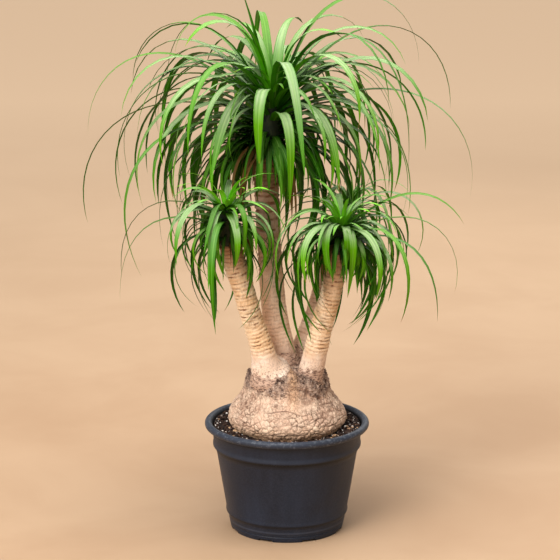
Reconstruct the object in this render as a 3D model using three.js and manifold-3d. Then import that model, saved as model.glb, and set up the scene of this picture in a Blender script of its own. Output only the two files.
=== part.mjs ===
// A potted ponytail palm: a swollen base with four trunks and four heads of strap leaves, in a nursery pot.
// Millimetres, +Z up. The origin is the middle of the pot's underside and the front of the plant faces -Y.
import * as THREE from 'three';
import { mergeVertices } from 'three/addons/utils/BufferGeometryUtils.js';
import Module from 'manifold-3d';

const wasm = await Module();
wasm.setup();

// Driving dimensions
const POT_HEIGHT = 182.6;
const RIM_RADIUS = 135;
const FOOT_RADIUS = 92.5;
const WALL = 2.5;
const FLOOR = 4;
const SIDES = 40;
const BASE_SIDES = 48;
const DRAIN_SLOTS = 8;
const DRAIN_WIDTH = 24;
const DRAIN_HEIGHT = 3.5;
const FIT_GAP = 0.35;
const SOIL_CLEARANCE = 1;
const BOWL_CLEARANCE = 0.7;

const SOIL_LEVEL = 174;
const SOIL_SLOPE = 0.05;
const SOIL_EDGE = 170;
const SOIL_OUTER_RING = 114;
const BASE_RADIUS = 96.5;
const BASE_BOTTOM = 110;
const BASE_TOP = 272;
const BOWL_TOP = 168;
const COLLAR_FOOT = 230;
const COLLAR_TOP = 257;
const PLATE_DEPTH = 2.6;

const TRUNK_SIDES = 10;
const SCAR_PITCH = 16;
const SCAR_DEPTH = 2;

const GOLDEN_ANGLE = 137.508;
const BLADE_STEPS = 6;
const LONG_BLADE_STEPS = 9;
const BLADE_KEEL = 0.17;
const CORE_SIDES = 8;

// The curve that each trunk follows, its radius along it, and the core of leaf bases above its end
const TRUNKS = {
  left: {
    route: [
      [-21, -22, 246], [-29, -27.5, 268], [-34.5, -31.5, 290], [-42.5, -35, 320], [-55.5, -40, 360],
      [-69.5, -46, 412], [-84, -52, 461], [-91, -56, 492],
    ],
    radii: [37, 36, 24.5, 18, 17, 17.5, 18, 18],
    coreTop: [-97, -78, 556],
    scars: [306, 476],
  },
  centre: {
    route: [
      [3, 9, 246], [-2, 9, 275], [-9.5, 10, 306], [-18, 11.5, 345], [-23, 13, 387], [-28, 14, 463],
      [-33, 10, 565], [-34, 6, 621],
    ],
    radii: [30, 23, 21, 20.5, 20.5, 19, 20, 20.5],
    coreTop: [-22, 0, 712],
    scars: [291, 606],
  },
  right: {
    route: [
      [34.5, -20, 242], [37, -26, 262], [42, -30.5, 285], [49, -36, 321], [61.5, -44, 374], [71.5, -50, 414],
      [82, -58, 480],
    ],
    radii: [28, 22, 20, 18.5, 17.5, 16.5, 16.5],
    coreTop: [86.5, -80, 526],
    scars: [294, 456],
  },
  back: {
    route: [[16, 26, 246], [26, 42, 296], [44, 56, 346], [60, 70, 396], [84, 88, 456], [96, 95, 486]],
    radii: [22, 16, 14, 13.5, 13, 13],
    coreTop: [103, 99, 521],
    scars: [291, 456],
  },
};

// Each head's leaves: how many, the length, width and rules of an average one, the ages between which a leaf
// grows long and goes soft, and how far the head leans towards the front, in degrees
const HEADS = {
  left: {
    seed: 11, count: 32, length: 150, oldest: 1.35, width: 13, youngest: 55, grown: [0.02, 0.34],
    lift: 80, droop: -30, fall: 135, soft: [0, 0.4], front: 0.9, sway: 90, lean: 24,
  },
  right: {
    seed: 23, count: 32, length: 165, oldest: 1.35, width: 14, youngest: 60, grown: [0.02, 0.34],
    lift: 80, droop: -28, fall: 135, soft: [0, 0.4], front: 0.9, sway: 90, lean: 20,
  },
  back: {
    seed: 37, count: 18, length: 185, oldest: 0.85, width: 11, youngest: 65, grown: [0, 0.25],
    lift: 74, droop: -10, fall: 108, soft: [-0.1, 0.3], front: 0, sway: 60, lean: -12,
  },
  centre: {
    seed: 5, count: 68, length: 345, oldest: 0.66, width: 18, youngest: 125, grown: [0, 0.25],
    lift: 84, droop: -12, fall: 108, soft: [-0.1, 0.3], front: 0.9, sway: 60, lean: 8,
  },
};

// Leaves with a place of their own: the long ones that give the heads their outline, and the broad ones in
// front. Each row is a leaf's compass direction, its rise at the root and fall at the tip in degrees, its
// length, the share of it where it bends, and its height up the core.
const LONG_LEAVES = {
  left: [
    [190, 24, 96, 250, 0.6, 0.75],
    [170, 10, 92, 270, 0.55, 0.5],
    [-100, 12, 112, 260, 0.42, 0.6],
    [-122, 18, 104, 195, 0.74, 1],
    [-110, 70, 64, 135, 0.3, 0.7],
    [-108, 36, 84, 170, 0.26, 0.75],
    [-74, -6, 134, 130, 0.62, 0.85],
    [-62, 28, 118, 125, 0.48, 0.95],
    [-54, 32, 96, 115, 0.56, 0.6],
    [-112, 32, 120, 130, 0.28, 0.5],
  ],
  right: [
    [4, 36, 62, 225, 0.8, 0.9],
    [-10, 20, 104, 270, 0.7, 0.8],
    [-28, 10, 92, 250, 0.6, 0.55],
    [-50, 22, 118, 270, 0.6, 0.6],
    [-132, 14, 110, 155, 0.56, 0.95],
    [-114, 36, 128, 155, 0.38, 0.85],
    [-78, 60, 138, 155, 0.3, 0.55],
    [-58, 6, 116, 185, 0.6, 0.95],
    [-70, 36, 112, 155, 0.26, 0.7],
    [-188, 40, 60, 125, 0.5, 1],
    [-148, 42, 100, 165, 0.35, 0.3],
    [-44, 12, 112, 180, 0.6, 0.55],
  ],
  back: [],
  centre: [
    [186, 10, 105, 430, 0.8, 0.8],
    [172, 36, 92, 400, 0.8, 0.85],
    [204, 6, 116, 430, 0.62, 0.6],
    [166, 58, 90, 345, 0.8, 0.95],
    [154, 74, 90, 345, 0.62, 1],
    [200, 80, 88, 290, 0.85, 1],
    [215, 76, -66, 195, 1, 1],
    [-8, 18, 102, 435, 0.85, 0.8],
    [10, 50, 92, 420, 0.75, 0.9],
    [-20, 66, 94, 440, 0.46, 0.95],
    [16, 69, 90, 400, 0.75, 1],
    [-32, 62, 90, 330, 0.7, 1],
    [58, 30, 96, 400, 0.8, 0.85],
    [84, 14, 104, 410, 0.8, 0.75],
    [98, 58, 90, 370, 0.75, 0.95],
    [118, 24, 98, 400, 0.8, 0.8],
    [-122, 44, 96, 350, 0.7, 0.9],
    [-126, 46, 74, 235, 0.4, 0.7],
    [-106, 72, 104, 200, 0.34, 0.8],
    [-84, 84, 126, 200, 0.28, 1],
    [-76, 70, 76, 315, 0.34, 1],
    [-70, 40, 100, 220, 0.32, 0.6],
    [-44, 38, 88, 240, 0.44, 0.6],
    [-128, 30, 90, 255, 0.64, 1],
    [-174, 52, 108, 245, 0.6, 0.3],
    [-46, 52, 100, 290, 0.7, 1],
    [4, 24, 120, 295, 0.58, 0.7],
    [-140, 80, -50, 150, 0.9, 0.9],
  ],
};
const LONG_LEAF_STIFFNESS = 3;
const LEAF_STIFFNESS = 1.9;
const MOST_HIDDEN = 0.5;

const MATERIALS = {
  pot: { color: 0x34353a, roughness: 0.62, metalness: 0 },
  soil: { color: 0x3a2a20, roughness: 1, metalness: 0 },
  trunk: { color: 0xc9a482, roughness: 0.9, metalness: 0 },
  leaves: { color: 0x4f8a35, roughness: 0.5, metalness: 0 },
};

const { degToRad, radToDeg, lerp, clamp, smoothstep } = THREE.MathUtils;
const UP = new THREE.Vector3(0, 0, 1);
const SIDEWAYS = new THREE.Vector3(1, 0, 0);

// A repeatable draw from 0 to 1 for one leaf and one purpose
function draw(index, purpose) {
  const wave = Math.sin(index * 12.9898 + purpose * 78.233) * 43758.5453;
  return wave - Math.floor(wave);
}

// Closed skin over rings of points, with a fan at each end. A chequered skin turns every other diagonal.
function loft(rings, start, end, chequered = false) {
  const sides = rings[0].length;
  const points = [start, ...rings.flat(), end];
  const triangles = [];
  const at = (ring, side) => 1 + ring * sides + (side % sides);
  for (let side = 0; side < sides; side += 1) {
    triangles.push(0, at(0, side + 1), at(0, side));
    triangles.push(points.length - 1, at(rings.length - 1, side), at(rings.length - 1, side + 1));
    for (let ring = 0; ring + 1 < rings.length; ring += 1) {
      const corners = [at(ring, side), at(ring, side + 1), at(ring + 1, side + 1), at(ring + 1, side)];
      if (chequered && (ring + side) % 2 === 1) {
        corners.push(corners.shift());
      }
      triangles.push(corners[0], corners[1], corners[2], corners[0], corners[2], corners[3]);
    }
  }
  return toSolid(points.flatMap((point) => point.toArray()), triangles);
}

function toSolid(positions, triangles) {
  const mesh = new wasm.Mesh({
    numProp: 3,
    vertProperties: new Float32Array(positions),
    triVerts: new Uint32Array(triangles),
  });
  return new wasm.Manifold(mesh);
}

function geometryToSolid(geometry) {
  const bare = geometry.clone();
  bare.deleteAttribute('normal');
  bare.deleteAttribute('uv');
  const merged = mergeVertices(bare, 1e-4);
  return toSolid(merged.attributes.position.array, merged.index.array);
}

function solidToGeometry(solid) {
  const mesh = solid.getMesh();
  const geometry = new THREE.BufferGeometry();
  geometry.setAttribute('position', new THREE.BufferAttribute(new Float32Array(mesh.vertProperties), 3));
  geometry.setIndex(new THREE.BufferAttribute(new Uint32Array(mesh.triVerts), 1));
  geometry.computeVertexNormals();
  return geometry;
}

function joined(solids) {
  return solids.reduce((whole, solid) => whole.add(solid));
}

// Lathe about +Z of a profile of [radius, height] pairs
function turned(profile) {
  const points = profile.map(([radius, height]) => new THREE.Vector2(radius, height));
  return new THREE.LatheGeometry(points, SIDES).rotateX(Math.PI / 2);
}

// Moulded pot: tapering wall with two steps, rolled rim, floor, and drain slots cut at the foot's edge
const POT_OUTSIDE = [[97, 22.5], [99.2, 27.5], [116, 133], [119.7, 139], [122.4, 168]];
const RIM = [[127, 170.6], [132.4, 172], [RIM_RADIUS, 176.8], [133.2, 181], [129, POT_HEIGHT]];
const POT_INSIDE = [
  [FOOT_RADIUS - WALL, FLOOR],
  ...POT_OUTSIDE.map(([radius, height]) => [radius - WALL, height]),
  [122.2, 176], [124.8, 180.6],
];

function potSolid() {
  const foot = [[0, 0], [FOOT_RADIUS, 0], [FOOT_RADIUS + 1, 3]];
  const profile = [...foot, ...POT_OUTSIDE, ...RIM, ...[...POT_INSIDE].reverse(), [0, FLOOR]];
  let pot = geometryToSolid(turned(profile));
  for (let slot = 0; slot < DRAIN_SLOTS; slot += 1) {
    const cutter = new THREE.BoxGeometry(20, DRAIN_WIDTH, 2 * DRAIN_HEIGHT);
    cutter.translate(FOOT_RADIUS - 1, 0, 0);
    cutter.rotateZ((2 * Math.PI * (slot + 0.5)) / DRAIN_SLOTS);
    pot = pot.subtract(geometryToSolid(cutter));
  }
  return pot;
}

// Swollen base from its underside up, as [radius, height], before its bark is raised
const BASE_PROFILE = [
  [52, BASE_BOTTOM], [64, 124], [75, 146], [84, BOWL_TOP], [94.5, 180], [BASE_RADIUS, 185.5], [96.2, 192],
  [93.8, 199], [90.4, 206.5], [85, 214.5], [78.5, 222.5], [73.5, COLLAR_FOOT], [70.5, 238], [68.5, 247],
  [65.5, COLLAR_TOP], [60.5, 266], [50, BASE_TOP],
];

function baseSolid() {
  const rings = BASE_PROFILE.map(([radius, height], row) => {
    const ring = [];
    for (let side = 0; side < BASE_SIDES; side += 1) {
      const angle = (2 * Math.PI * side) / BASE_SIDES;
      const reach = radius + barkRelief(angle, side, row, height);
      ring.push(new THREE.Vector3(reach * Math.sin(angle), -reach * Math.cos(angle), height));
    }
    return ring;
  });
  const underside = new THREE.Vector3(0, 0, BASE_BOTTOM);
  const top = new THREE.Vector3(0, 0, BASE_TOP + 4);
  return loft(rings, underside, top, true);
}

// Bark plates as a chequer of raised and sunk points, larger than life, with the seam of the two old halves
function barkRelief(angle, side, row, height) {
  if (height <= SOIL_LEVEL) {
    return 0;
  }
  const sunk = (side + row) % 2 === 0 ? 1 : 0;
  const ragged = height > COLLAR_FOOT ? 1.5 : 1;
  const seam = 5 * Math.exp(-(((angle - 0.12) / 0.16) ** 2)) * smoothstep(height, 196, 241);
  return seam - PLATE_DEPTH * ragged * sunk * (0.6 + 0.4 * draw(side, row));
}

// Potting soil: fills the pot, with an open bowl that the swollen base sits in
function soilSolid() {
  const underside = FLOOR + FIT_GAP;
  const levels = [underside, 132, 162, SOIL_EDGE];
  const outer = levels.map((height) => [radiusAt(POT_INSIDE, height) - SOIL_CLEARANCE, height]);
  const surface = [[SOIL_OUTER_RING, SOIL_LEVEL - 1], [104, SOIL_LEVEL + 0.5]];
  const heights = [SOIL_LEVEL, BOWL_TOP, 146, 124, BASE_BOTTOM];
  const bowl = heights.map((height) => [radiusAt(BASE_PROFILE, height) + BOWL_CLEARANCE, height]);
  const seat = BASE_BOTTOM - FIT_GAP;
  const profile = [[0, underside], ...outer, ...surface, ...bowl, [bowl.at(-1)[0], seat], [0, seat]];
  const geometry = turned(profile);
  slopeAndCrumble(geometry.attributes.position);
  return geometryToSolid(geometry);
}

// Tilts the soil's surface up towards the back, seats its two edges again, and crumbles the rest
function slopeAndCrumble(positions) {
  for (let index = 0; index < positions.count; index += 1) {
    const [x, y, z] = [positions.getX(index), positions.getY(index), positions.getZ(index)];
    const reach = Math.hypot(x, y);
    const isSurface = z > BOWL_TOP + 1;
    if (!isSurface) {
      continue;
    }
    const height = z + SOIL_SLOPE * y;
    if (reach < BASE_RADIUS) {
      const seat = radiusAt(BASE_PROFILE, height) + BOWL_CLEARANCE;
      positions.setXYZ(index, (x * seat) / reach, (y * seat) / reach, height);
    } else if (reach > SOIL_OUTER_RING + 1) {
      const edge = radiusAt(POT_INSIDE, height) - SOIL_CLEARANCE;
      positions.setXYZ(index, (x * edge) / reach, (y * edge) / reach, height);
    } else {
      const turns = Math.atan2(y, x);
      const lump = 1.4 * Math.sin(turns * 9 + reach) + Math.sin(turns * 17 - reach * 0.6);
      positions.setZ(index, height + lump);
    }
  }
}

// Radius of a profile of [radius, height] pairs at a height between two of them
function radiusAt(profile, height) {
  const above = Math.max(1, profile.findIndex((point) => point[1] >= height));
  const [low, high] = [profile[above - 1], profile[above]];
  return lerp(low[0], high[0], (height - low[1]) / (high[1] - low[1]));
}

// One trunk as a tube along its route, ringed with leaf scars between two heights
function trunkSolid(trunk) {
  const curve = new THREE.CatmullRomCurve3(trunk.route.map((point) => new THREE.Vector3(...point)));
  const length = curve.getLength();
  const count = Math.round((2 * length) / SCAR_PITCH);
  const rings = [];
  for (let step = 0; step <= count; step += 1) {
    const share = step / count;
    const centre = curve.getPointAt(share);
    const scarred = centre.z > trunk.scars[0] && centre.z < trunk.scars[1];
    if (!scarred && step % 4 !== 0 && step !== count) {
      continue;
    }
    const groove = scarred && step % 2 === 0 ? SCAR_DEPTH : 0;
    const place = curve.getUtoTmapping(share) * (trunk.radii.length - 1);
    const below = Math.min(Math.floor(place), trunk.radii.length - 2);
    const radius = lerp(trunk.radii[below], trunk.radii[below + 1], place - below) - groove;
    rings.push(ringAround(centre, curve.getTangentAt(share), radius, step));
  }
  return loft(rings, curve.getPointAt(0), curve.getPointAt(1));
}

function ringAround(centre, along, radius, step) {
  const across = new THREE.Vector3(0, 1, 0).cross(along).normalize();
  const other = along.clone().cross(across);
  const ring = [];
  for (let side = 0; side < TRUNK_SIDES; side += 1) {
    const angle = (2 * Math.PI * side) / TRUNK_SIDES;
    const uneven = radius * (1 + 0.03 * Math.sin(angle * 2 + step));
    ring.push(centre.clone()
      .addScaledVector(across, uneven * Math.cos(angle))
      .addScaledVector(other, uneven * Math.sin(angle)));
  }
  return ring;
}

// Core of old leaf bases that a head's blades grow from, seated just above its trunk's end
function coreSolid(trunk) {
  const { foot, top, along } = coreLine(trunk);
  const radius = trunk.radii.at(-1);
  const rings = [[0, 0.9], [0.15, 1.25], [0.6, 1], [1, 0.5]].map(([share, width]) => {
    const centre = foot.clone().lerp(top, share);
    const across = new THREE.Vector3(0, 1, 0).cross(along).normalize();
    const other = along.clone().cross(across);
    return Array.from({ length: CORE_SIDES }, (_, side) => {
      const angle = (2 * Math.PI * side) / CORE_SIDES;
      return centre.clone()
        .addScaledVector(across, radius * width * Math.cos(angle))
        .addScaledVector(other, radius * width * Math.sin(angle));
    });
  });
  return loft(rings, foot, top.clone().addScaledVector(along, 3));
}

// The axis of a core: it starts a small gap above the trunk's end face
function coreLine(trunk) {
  const end = new THREE.Vector3(...trunk.route.at(-1));
  const before = new THREE.Vector3(...trunk.route.at(-2));
  const along = end.clone().sub(before).normalize();
  const foot = end.clone().addScaledVector(along, FIT_GAP);
  const top = new THREE.Vector3(...trunk.coreTop);
  return { foot, top, along };
}

// Age runs from 0 for the youngest leaf at the tip to 1 for the oldest, which hangs at the core's foot. Those
// that face the front are shorter, and the oldest of them are gone, so that the trunk shows under its head.
function leafRecipe(head, index) {
  const age = (index + 0.5) / head.count;
  const pick = (purpose) => draw(index + head.seed * 100, purpose) - 0.5;
  const round = index * GOLDEN_ANGLE + 24 * pick(1);
  const facing = Math.max(0, -Math.sin(degToRad(round)));
  const hidden = head.front * facing ** 1.5 * (0.5 + 0.5 * age);
  const young = lerp(head.youngest, head.length, smoothstep(age, ...head.grown));
  const grown = young * lerp(1, head.oldest, smoothstep(age, 0.4, 1));
  const { heading, rise } = tipped(round, lerp(head.lift, head.droop, age ** 0.85) + 16 * pick(2), head.lean);
  return {
    heading,
    rise,
    gone: hidden > MOST_HIDDEN,
    fall: head.fall * smoothstep(age, ...head.soft) + 26 * pick(3),
    length: grown * (1 + 0.34 * pick(4)) * (1 - hidden),
    bend: 0.85 - 0.3 * age + 0.3 * pick(5),
    stiffness: LEAF_STIFFNESS,
    steps: BLADE_STEPS,
    height: 1 - 0.92 * age,
    width: head.width * (0.75 + 0.25 * smoothstep(age, 0, 0.3)),
    sway: head.sway * pick(6),
    twist: 60 * pick(7),
  };
}

// A leaf's first direction, as a heading and a rise, once its head has tipped to the front by some degrees
function tipped(heading, rise, lean) {
  const first = headingVector(heading).multiplyScalar(Math.cos(degToRad(rise)));
  first.addScaledVector(UP, Math.sin(degToRad(rise))).applyAxisAngle(SIDEWAYS, degToRad(lean));
  return { heading: radToDeg(Math.atan2(first.y, first.x)), rise: radToDeg(Math.asin(first.z)) };
}

function longLeafRecipe(head, row, index) {
  const [heading, rise, fall, length, bend, height] = row;
  return {
    heading,
    rise,
    fall,
    length,
    bend,
    stiffness: LONG_LEAF_STIFFNESS,
    steps: length > 210 ? LONG_BLADE_STEPS : BLADE_STEPS,
    height,
    width: head.width * 0.85,
    sway: 14 * (draw(index, 8) - 0.5),
    twist: 60 * (draw(index, 9) - 0.5),
  };
}

// Points down the middle of a blade, with the directions across it and out of its face
function bladeLine(recipe, line) {
  const start = line.foot.clone().lerp(line.top, recipe.height);
  const reach = line.radius * lerp(0.55, 0.3, recipe.height);
  const away = headingVector(recipe.heading);
  const point = start.addScaledVector(away, reach);
  const step = recipe.length / recipe.steps;
  const places = [];
  for (let index = 0; index <= recipe.steps; index += 1) {
    const share = index / recipe.steps;
    const frame = bladeFrame(recipe, share);
    places.push({ point: point.clone(), share, ...frame });
    point.addScaledVector(bladeFrame(recipe, share + 0.5 / recipe.steps).along, step);
  }
  return places;
}

function headingVector(degrees) {
  return new THREE.Vector3(Math.cos(degToRad(degrees)), Math.sin(degToRad(degrees)), 0);
}

function bladeFrame(recipe, share) {
  const middle = clamp(recipe.bend, 0.12, 1) ** recipe.stiffness;
  const gone = share ** recipe.stiffness;
  const spent = ((1 + middle) * gone) / (gone + middle);
  const slope = degToRad(recipe.rise - (recipe.rise + recipe.fall) * spent);
  const heading = recipe.heading + recipe.sway * share * share;
  const away = headingVector(heading);
  const along = away.clone().multiplyScalar(Math.cos(slope)).addScaledVector(UP, Math.sin(slope));
  const flat = new THREE.Vector3(-away.y, away.x, 0);
  const turn = new THREE.Quaternion().setFromAxisAngle(along, degToRad(recipe.twist * share));
  const across = flat.applyQuaternion(turn);
  const face = along.clone().cross(across);
  return { along, across, face };
}

// One strap leaf: flat above, keeled below, three faces round, tapering to its tip
function bladeSolid(recipe, line) {
  const places = bladeLine(recipe, line);
  const tip = places.pop();
  const rings = places.map(({ point, share, across, face }) => {
    const width = recipe.width * (0.5 + 0.5 * smoothstep(share, 0, 0.2)) * (1 - 0.75 * share ** 2.2);
    return [
      point.clone().addScaledVector(across, -width / 2),
      point.clone().addScaledVector(face, -Math.max(recipe.width * BLADE_KEEL, 1.2)),
      point.clone().addScaledVector(across, width / 2),
    ];
  });
  const root = rings[0].reduce((sum, corner) => sum.add(corner), new THREE.Vector3()).divideScalar(3);
  return loft(rings, root, tip.point);
}

// How a blade that crosses another is moved: swing in degrees, lift in degrees, and share of its length
const TRIES = [
  [0, 0, 1], [5, 3, 1], [-5, 3, 1], [9, -4, 1], [-9, -4, 1], [3, 9, 0.95], [-3, -9, 0.95], [13, 5, 0.9],
  [-13, 5, 0.9], [17, -3, 0.85], [-17, -3, 0.85], [6, 14, 0.8], [-6, 14, 0.75], [0, 6, 0.6],
];

const MOST_CROSSING = 60;

// Tries to swing and lift a blade until it crosses nothing outside its own head and little inside it
function clearBlade(recipe, line, others, core, own) {
  let best = null;
  for (const [swing, lift, size] of TRIES) {
    const changed = {
      ...recipe,
      heading: recipe.heading + swing,
      rise: recipe.rise + lift,
      length: recipe.length * size,
    };
    const blade = bladeSolid(changed, line);
    if (!blade.intersect(others).isEmpty()) {
      continue;
    }
    const crossing = blade.intersect(own).subtract(core).volume();
    if (best === null || crossing < best.crossing) {
      best = { blade, crossing };
    }
    if (crossing < 1) {
      break;
    }
  }
  return best !== null && best.crossing < MOST_CROSSING ? best : null;
}

function headSolid(trunk, head, others, longLeaves) {
  const { foot, top } = coreLine(trunk);
  const line = { foot, top, radius: trunk.radii.at(-1) };
  const recipes = longLeaves.map((row, index) => longLeafRecipe(head, row, index));
  for (let index = 0; index < head.count; index += 1) {
    const recipe = leafRecipe(head, index);
    if (!recipe.gone) {
      recipes.push(recipe);
    }
  }
  const core = coreSolid(trunk);
  let own = null;
  for (const recipe of recipes) {
    const found = clearBlade(recipe, line, others, core, own ?? core);
    if (found !== null) {
      own = own === null ? found.blade : own.add(found.blade);
    }
  }
  return own.add(core);
}

function finished(name, solid, look) {
  const mesh = new THREE.Mesh(solidToGeometry(solid), new THREE.MeshStandardMaterial(MATERIALS[look]));
  mesh.name = name;
  return mesh;
}

const group = new THREE.Group();
group.add(finished('pot', potSolid(), 'pot'));
group.add(finished('soil', soilSolid(), 'soil'));

const trunk = joined([baseSolid(), ...Object.values(TRUNKS).map(trunkSolid)]);
group.add(finished('trunk', trunk, 'trunk'));

let grown = trunk.add(potSolid()).add(soilSolid());
for (const [place, head] of Object.entries(HEADS)) {
  const solid = headSolid(TRUNKS[place], head, grown, LONG_LEAVES[place]);
  grown = grown.add(solid);
  group.add(finished(`crown_${place}`, solid, 'leaves'));
}

export default group;
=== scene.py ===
# %% [markdown]
# # A ponytail palm in a nursery pot
# The plant is a swollen, corky base with four trunks and a head of strap leaves on each. It stands in a
# round black pot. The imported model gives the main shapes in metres. Each step below says what a piece is on
# the real plant, how it could be made, and why one way was chosen, and then makes it in the place that the
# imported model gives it.

import math

import bpy
import numpy as np
from mathutils import Matrix, Vector, kdtree, noise


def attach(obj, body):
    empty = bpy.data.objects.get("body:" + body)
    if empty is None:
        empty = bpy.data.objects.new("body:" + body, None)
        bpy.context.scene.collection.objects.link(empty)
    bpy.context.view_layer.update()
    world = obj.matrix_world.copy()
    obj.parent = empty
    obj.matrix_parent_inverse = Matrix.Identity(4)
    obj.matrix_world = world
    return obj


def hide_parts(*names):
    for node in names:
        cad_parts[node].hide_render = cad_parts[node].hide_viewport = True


MM = 0.001
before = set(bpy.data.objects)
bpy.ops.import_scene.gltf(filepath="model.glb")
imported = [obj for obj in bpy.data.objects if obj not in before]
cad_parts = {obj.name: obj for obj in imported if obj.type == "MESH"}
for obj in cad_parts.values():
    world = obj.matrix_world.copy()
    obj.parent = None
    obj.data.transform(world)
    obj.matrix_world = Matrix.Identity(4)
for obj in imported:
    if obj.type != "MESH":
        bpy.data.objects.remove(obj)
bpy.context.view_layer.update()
print("packed nodes:", ", ".join(sorted(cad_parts)))

# %% [markdown]
# ## The camera
# The two ellipses of the pot, its rim and its foot, fix where the photograph was taken from: about three
# and a half metres in front, a good metre up, looking a little down through a long lens. The camera comes
# first, so that every piece can be judged from that place as soon as it exists.

# %% Camera
CAMERA_PLACE = (-0.0114, -3.5914, 1.2746)
LOOKS_DOWN = 13.429
FIELD_OF_VIEW = 14.011
bpy.ops.object.camera_add(location=CAMERA_PLACE, rotation=(math.radians(90 - LOOKS_DOWN), 0, 0))
camera = bpy.context.object
camera.data.angle = math.radians(FIELD_OF_VIEW)
camera.data.clip_end = 60
bpy.context.scene.camera = camera
print("camera is", round(Vector(CAMERA_PLACE).length, 2), "m from the pot")

# %% [markdown]
# ## Small tools
# A few short helpers keep the later cells readable. One clears the selection, because an operator works on
# all that is selected. Two read and write a mesh's points as an array in millimetres, which is how the
# plant was measured. One stores numbers for the points, so that a material can follow the shape, and two
# draw repeatable luck.


# %% Selection, points and marks
def clear_selection():
    """Leaves edit mode and deselects everything."""
    if bpy.context.object is not None and bpy.context.object.mode != "OBJECT":
        bpy.ops.object.mode_set(mode="OBJECT")
    bpy.ops.object.select_all(action="DESELECT")


def select_only(piece):
    """Makes one object both the active and the only selected one."""
    clear_selection()
    piece.select_set(True)
    bpy.context.view_layer.objects.active = piece


def points_of(piece):
    """The points of a mesh as rows of x, y, z in millimetres."""
    flat = np.zeros(len(piece.data.vertices) * 3)
    piece.data.vertices.foreach_get("co", flat)
    return flat.reshape(-1, 3) / MM


def set_points(piece, points):
    """Moves the points of a mesh to rows of x, y, z in millimetres."""
    piece.data.vertices.foreach_set("co", (np.asarray(points) * MM).ravel())
    piece.data.update()


def normals_of(piece):
    """The outward direction at each point of a mesh."""
    flat = np.zeros(len(piece.data.vertices) * 3)
    piece.data.vertex_normals.foreach_get("vector", flat)
    return flat.reshape(-1, 3)


def from_axis(points):
    """How far each point lies from the upright axis."""
    return np.hypot(points[:, 0], points[:, 1])


def mark(piece, **marks):
    """Stores one number for each point of a mesh under each name, for a material to read."""
    for name, values in marks.items():
        wide = np.broadcast_to(np.asarray(values, dtype=np.float32), len(piece.data.vertices))
        attribute = piece.data.attributes.new(name, "FLOAT", "POINT")
        attribute.data.foreach_set("value", np.ascontiguousarray(wide))


def ease(low, high, values):
    """A smooth step from 0 at low to 1 at high."""
    share = np.clip((np.asarray(values, dtype=float) - low) / (high - low), 0, 1)
    return share * share * (3 - 2 * share)


def draw(index, purpose):
    """A repeatable number from 0 to 1 for one copy and one purpose."""
    return (math.sin(index * 12.9898 + purpose * 78.233) * 43758.5453) % 1.0


def draws(index, purposes):
    """Repeatable numbers from 0 to 1 for one copy, one for each purpose."""
    return [draw(index, purpose) for purpose in purposes]


def cloud(points, size, seed=0.0):
    """Smooth noise from -1 to 1 at each point, with lumps of about the given size in millimetres."""
    shift = Vector((seed, seed * 1.7, seed * 2.3))
    return np.array([noise.noise(Vector(point) / size + shift) for point in points])


# %% [markdown]
# Turned pieces, such as the pot, are drawn as by hand: one vertex is extruded along half of the outline and
# the chain is spun about the upright axis. The doubles at the seam and on the axis are merged before the
# normals are made consistent.


# %% Spinning an outline
def spin_outline(name, outline, steps):
    """Spins a chain of (radius, height) pairs in millimetres into a closed skin."""
    clear_selection()
    bpy.ops.mesh.primitive_plane_add(size=0.01)
    piece = bpy.context.object
    piece.name = name
    piece.data.name = name
    bpy.ops.object.mode_set(mode="EDIT")
    bpy.ops.mesh.select_all(action="SELECT")
    bpy.ops.mesh.merge(type="CENTER")
    bpy.ops.transform.translate(value=(outline[0][0] * MM, 0, outline[0][1] * MM))
    for (radius, height), (next_radius, next_height) in zip(outline, outline[1:]):
        step = ((next_radius - radius) * MM, 0, (next_height - height) * MM)
        bpy.ops.mesh.extrude_vertices_move(TRANSFORM_OT_translate={"value": step})
    bpy.ops.mesh.select_all(action="SELECT")
    bpy.ops.mesh.spin(steps=steps, angle=2 * math.pi, center=(0, 0, 0), axis=(0, 0, 1))
    bpy.ops.mesh.select_all(action="SELECT")
    bpy.ops.mesh.remove_doubles(threshold=1e-6)
    bpy.ops.mesh.normals_make_consistent(inside=False)
    bpy.ops.object.mode_set(mode="OBJECT")
    return piece


def apply_modifier(piece, kind, **settings):
    """Adds a modifier with its settings and applies it at once."""
    select_only(piece)
    modifier = piece.modifiers.new(kind.lower(), kind)
    for setting, value in settings.items():
        setattr(modifier, setting, value)
    bpy.ops.object.modifier_apply(modifier=modifier.name)


def smooth_by_angle(piece, degrees):
    """Shades a piece smooth, except across edges sharper than an angle."""
    select_only(piece)
    bpy.ops.object.shade_smooth_by_angle(angle=math.radians(degrees))


def smooth(piece):
    """Shades all of a piece smooth."""
    select_only(piece)
    bpy.ops.object.shade_smooth()


# %% [markdown]
# What repeats, such as leaves, bark flakes and crumbs of soil, is modelled once. Each copy gets a mesh of
# its own, is moved or bent into place, and all copies of one kind are joined into one piece.


# %% Copying and joining
def copy_of(pattern):
    """A copy of a pattern object, with its own mesh."""
    twin = pattern.copy()
    twin.data = pattern.data.copy()
    bpy.context.scene.collection.objects.link(twin)
    return twin


def join_all(copies, name):
    """Joins copies into one named piece."""
    select_only(copies[0])
    for twin in copies:
        twin.select_set(True)
    bpy.ops.object.join()
    piece = bpy.context.object
    piece.name = name
    piece.data.name = name
    return piece


def discard(piece):
    """Removes a pattern object that has been copied."""
    bpy.data.objects.remove(piece, do_unlink=True)


def triangles_in(piece):
    """How many triangles a mesh is drawn with."""
    return sum(len(face.vertices) - 2 for face in piece.data.polygons)


# %% [markdown]
# ## Shader tools
# Every finish is built from nodes. The first helper adds a node and fills its inputs. A finish is then a
# list of layers: each says where it lies, how strongly it shows, and its colour. The groups that follow
# hold the effects that several finishes share: a fine grain, large soft patches, specks and cracks. Each
# puts out only a mask or a height, and the Principled shader stays in the material itself.


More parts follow.
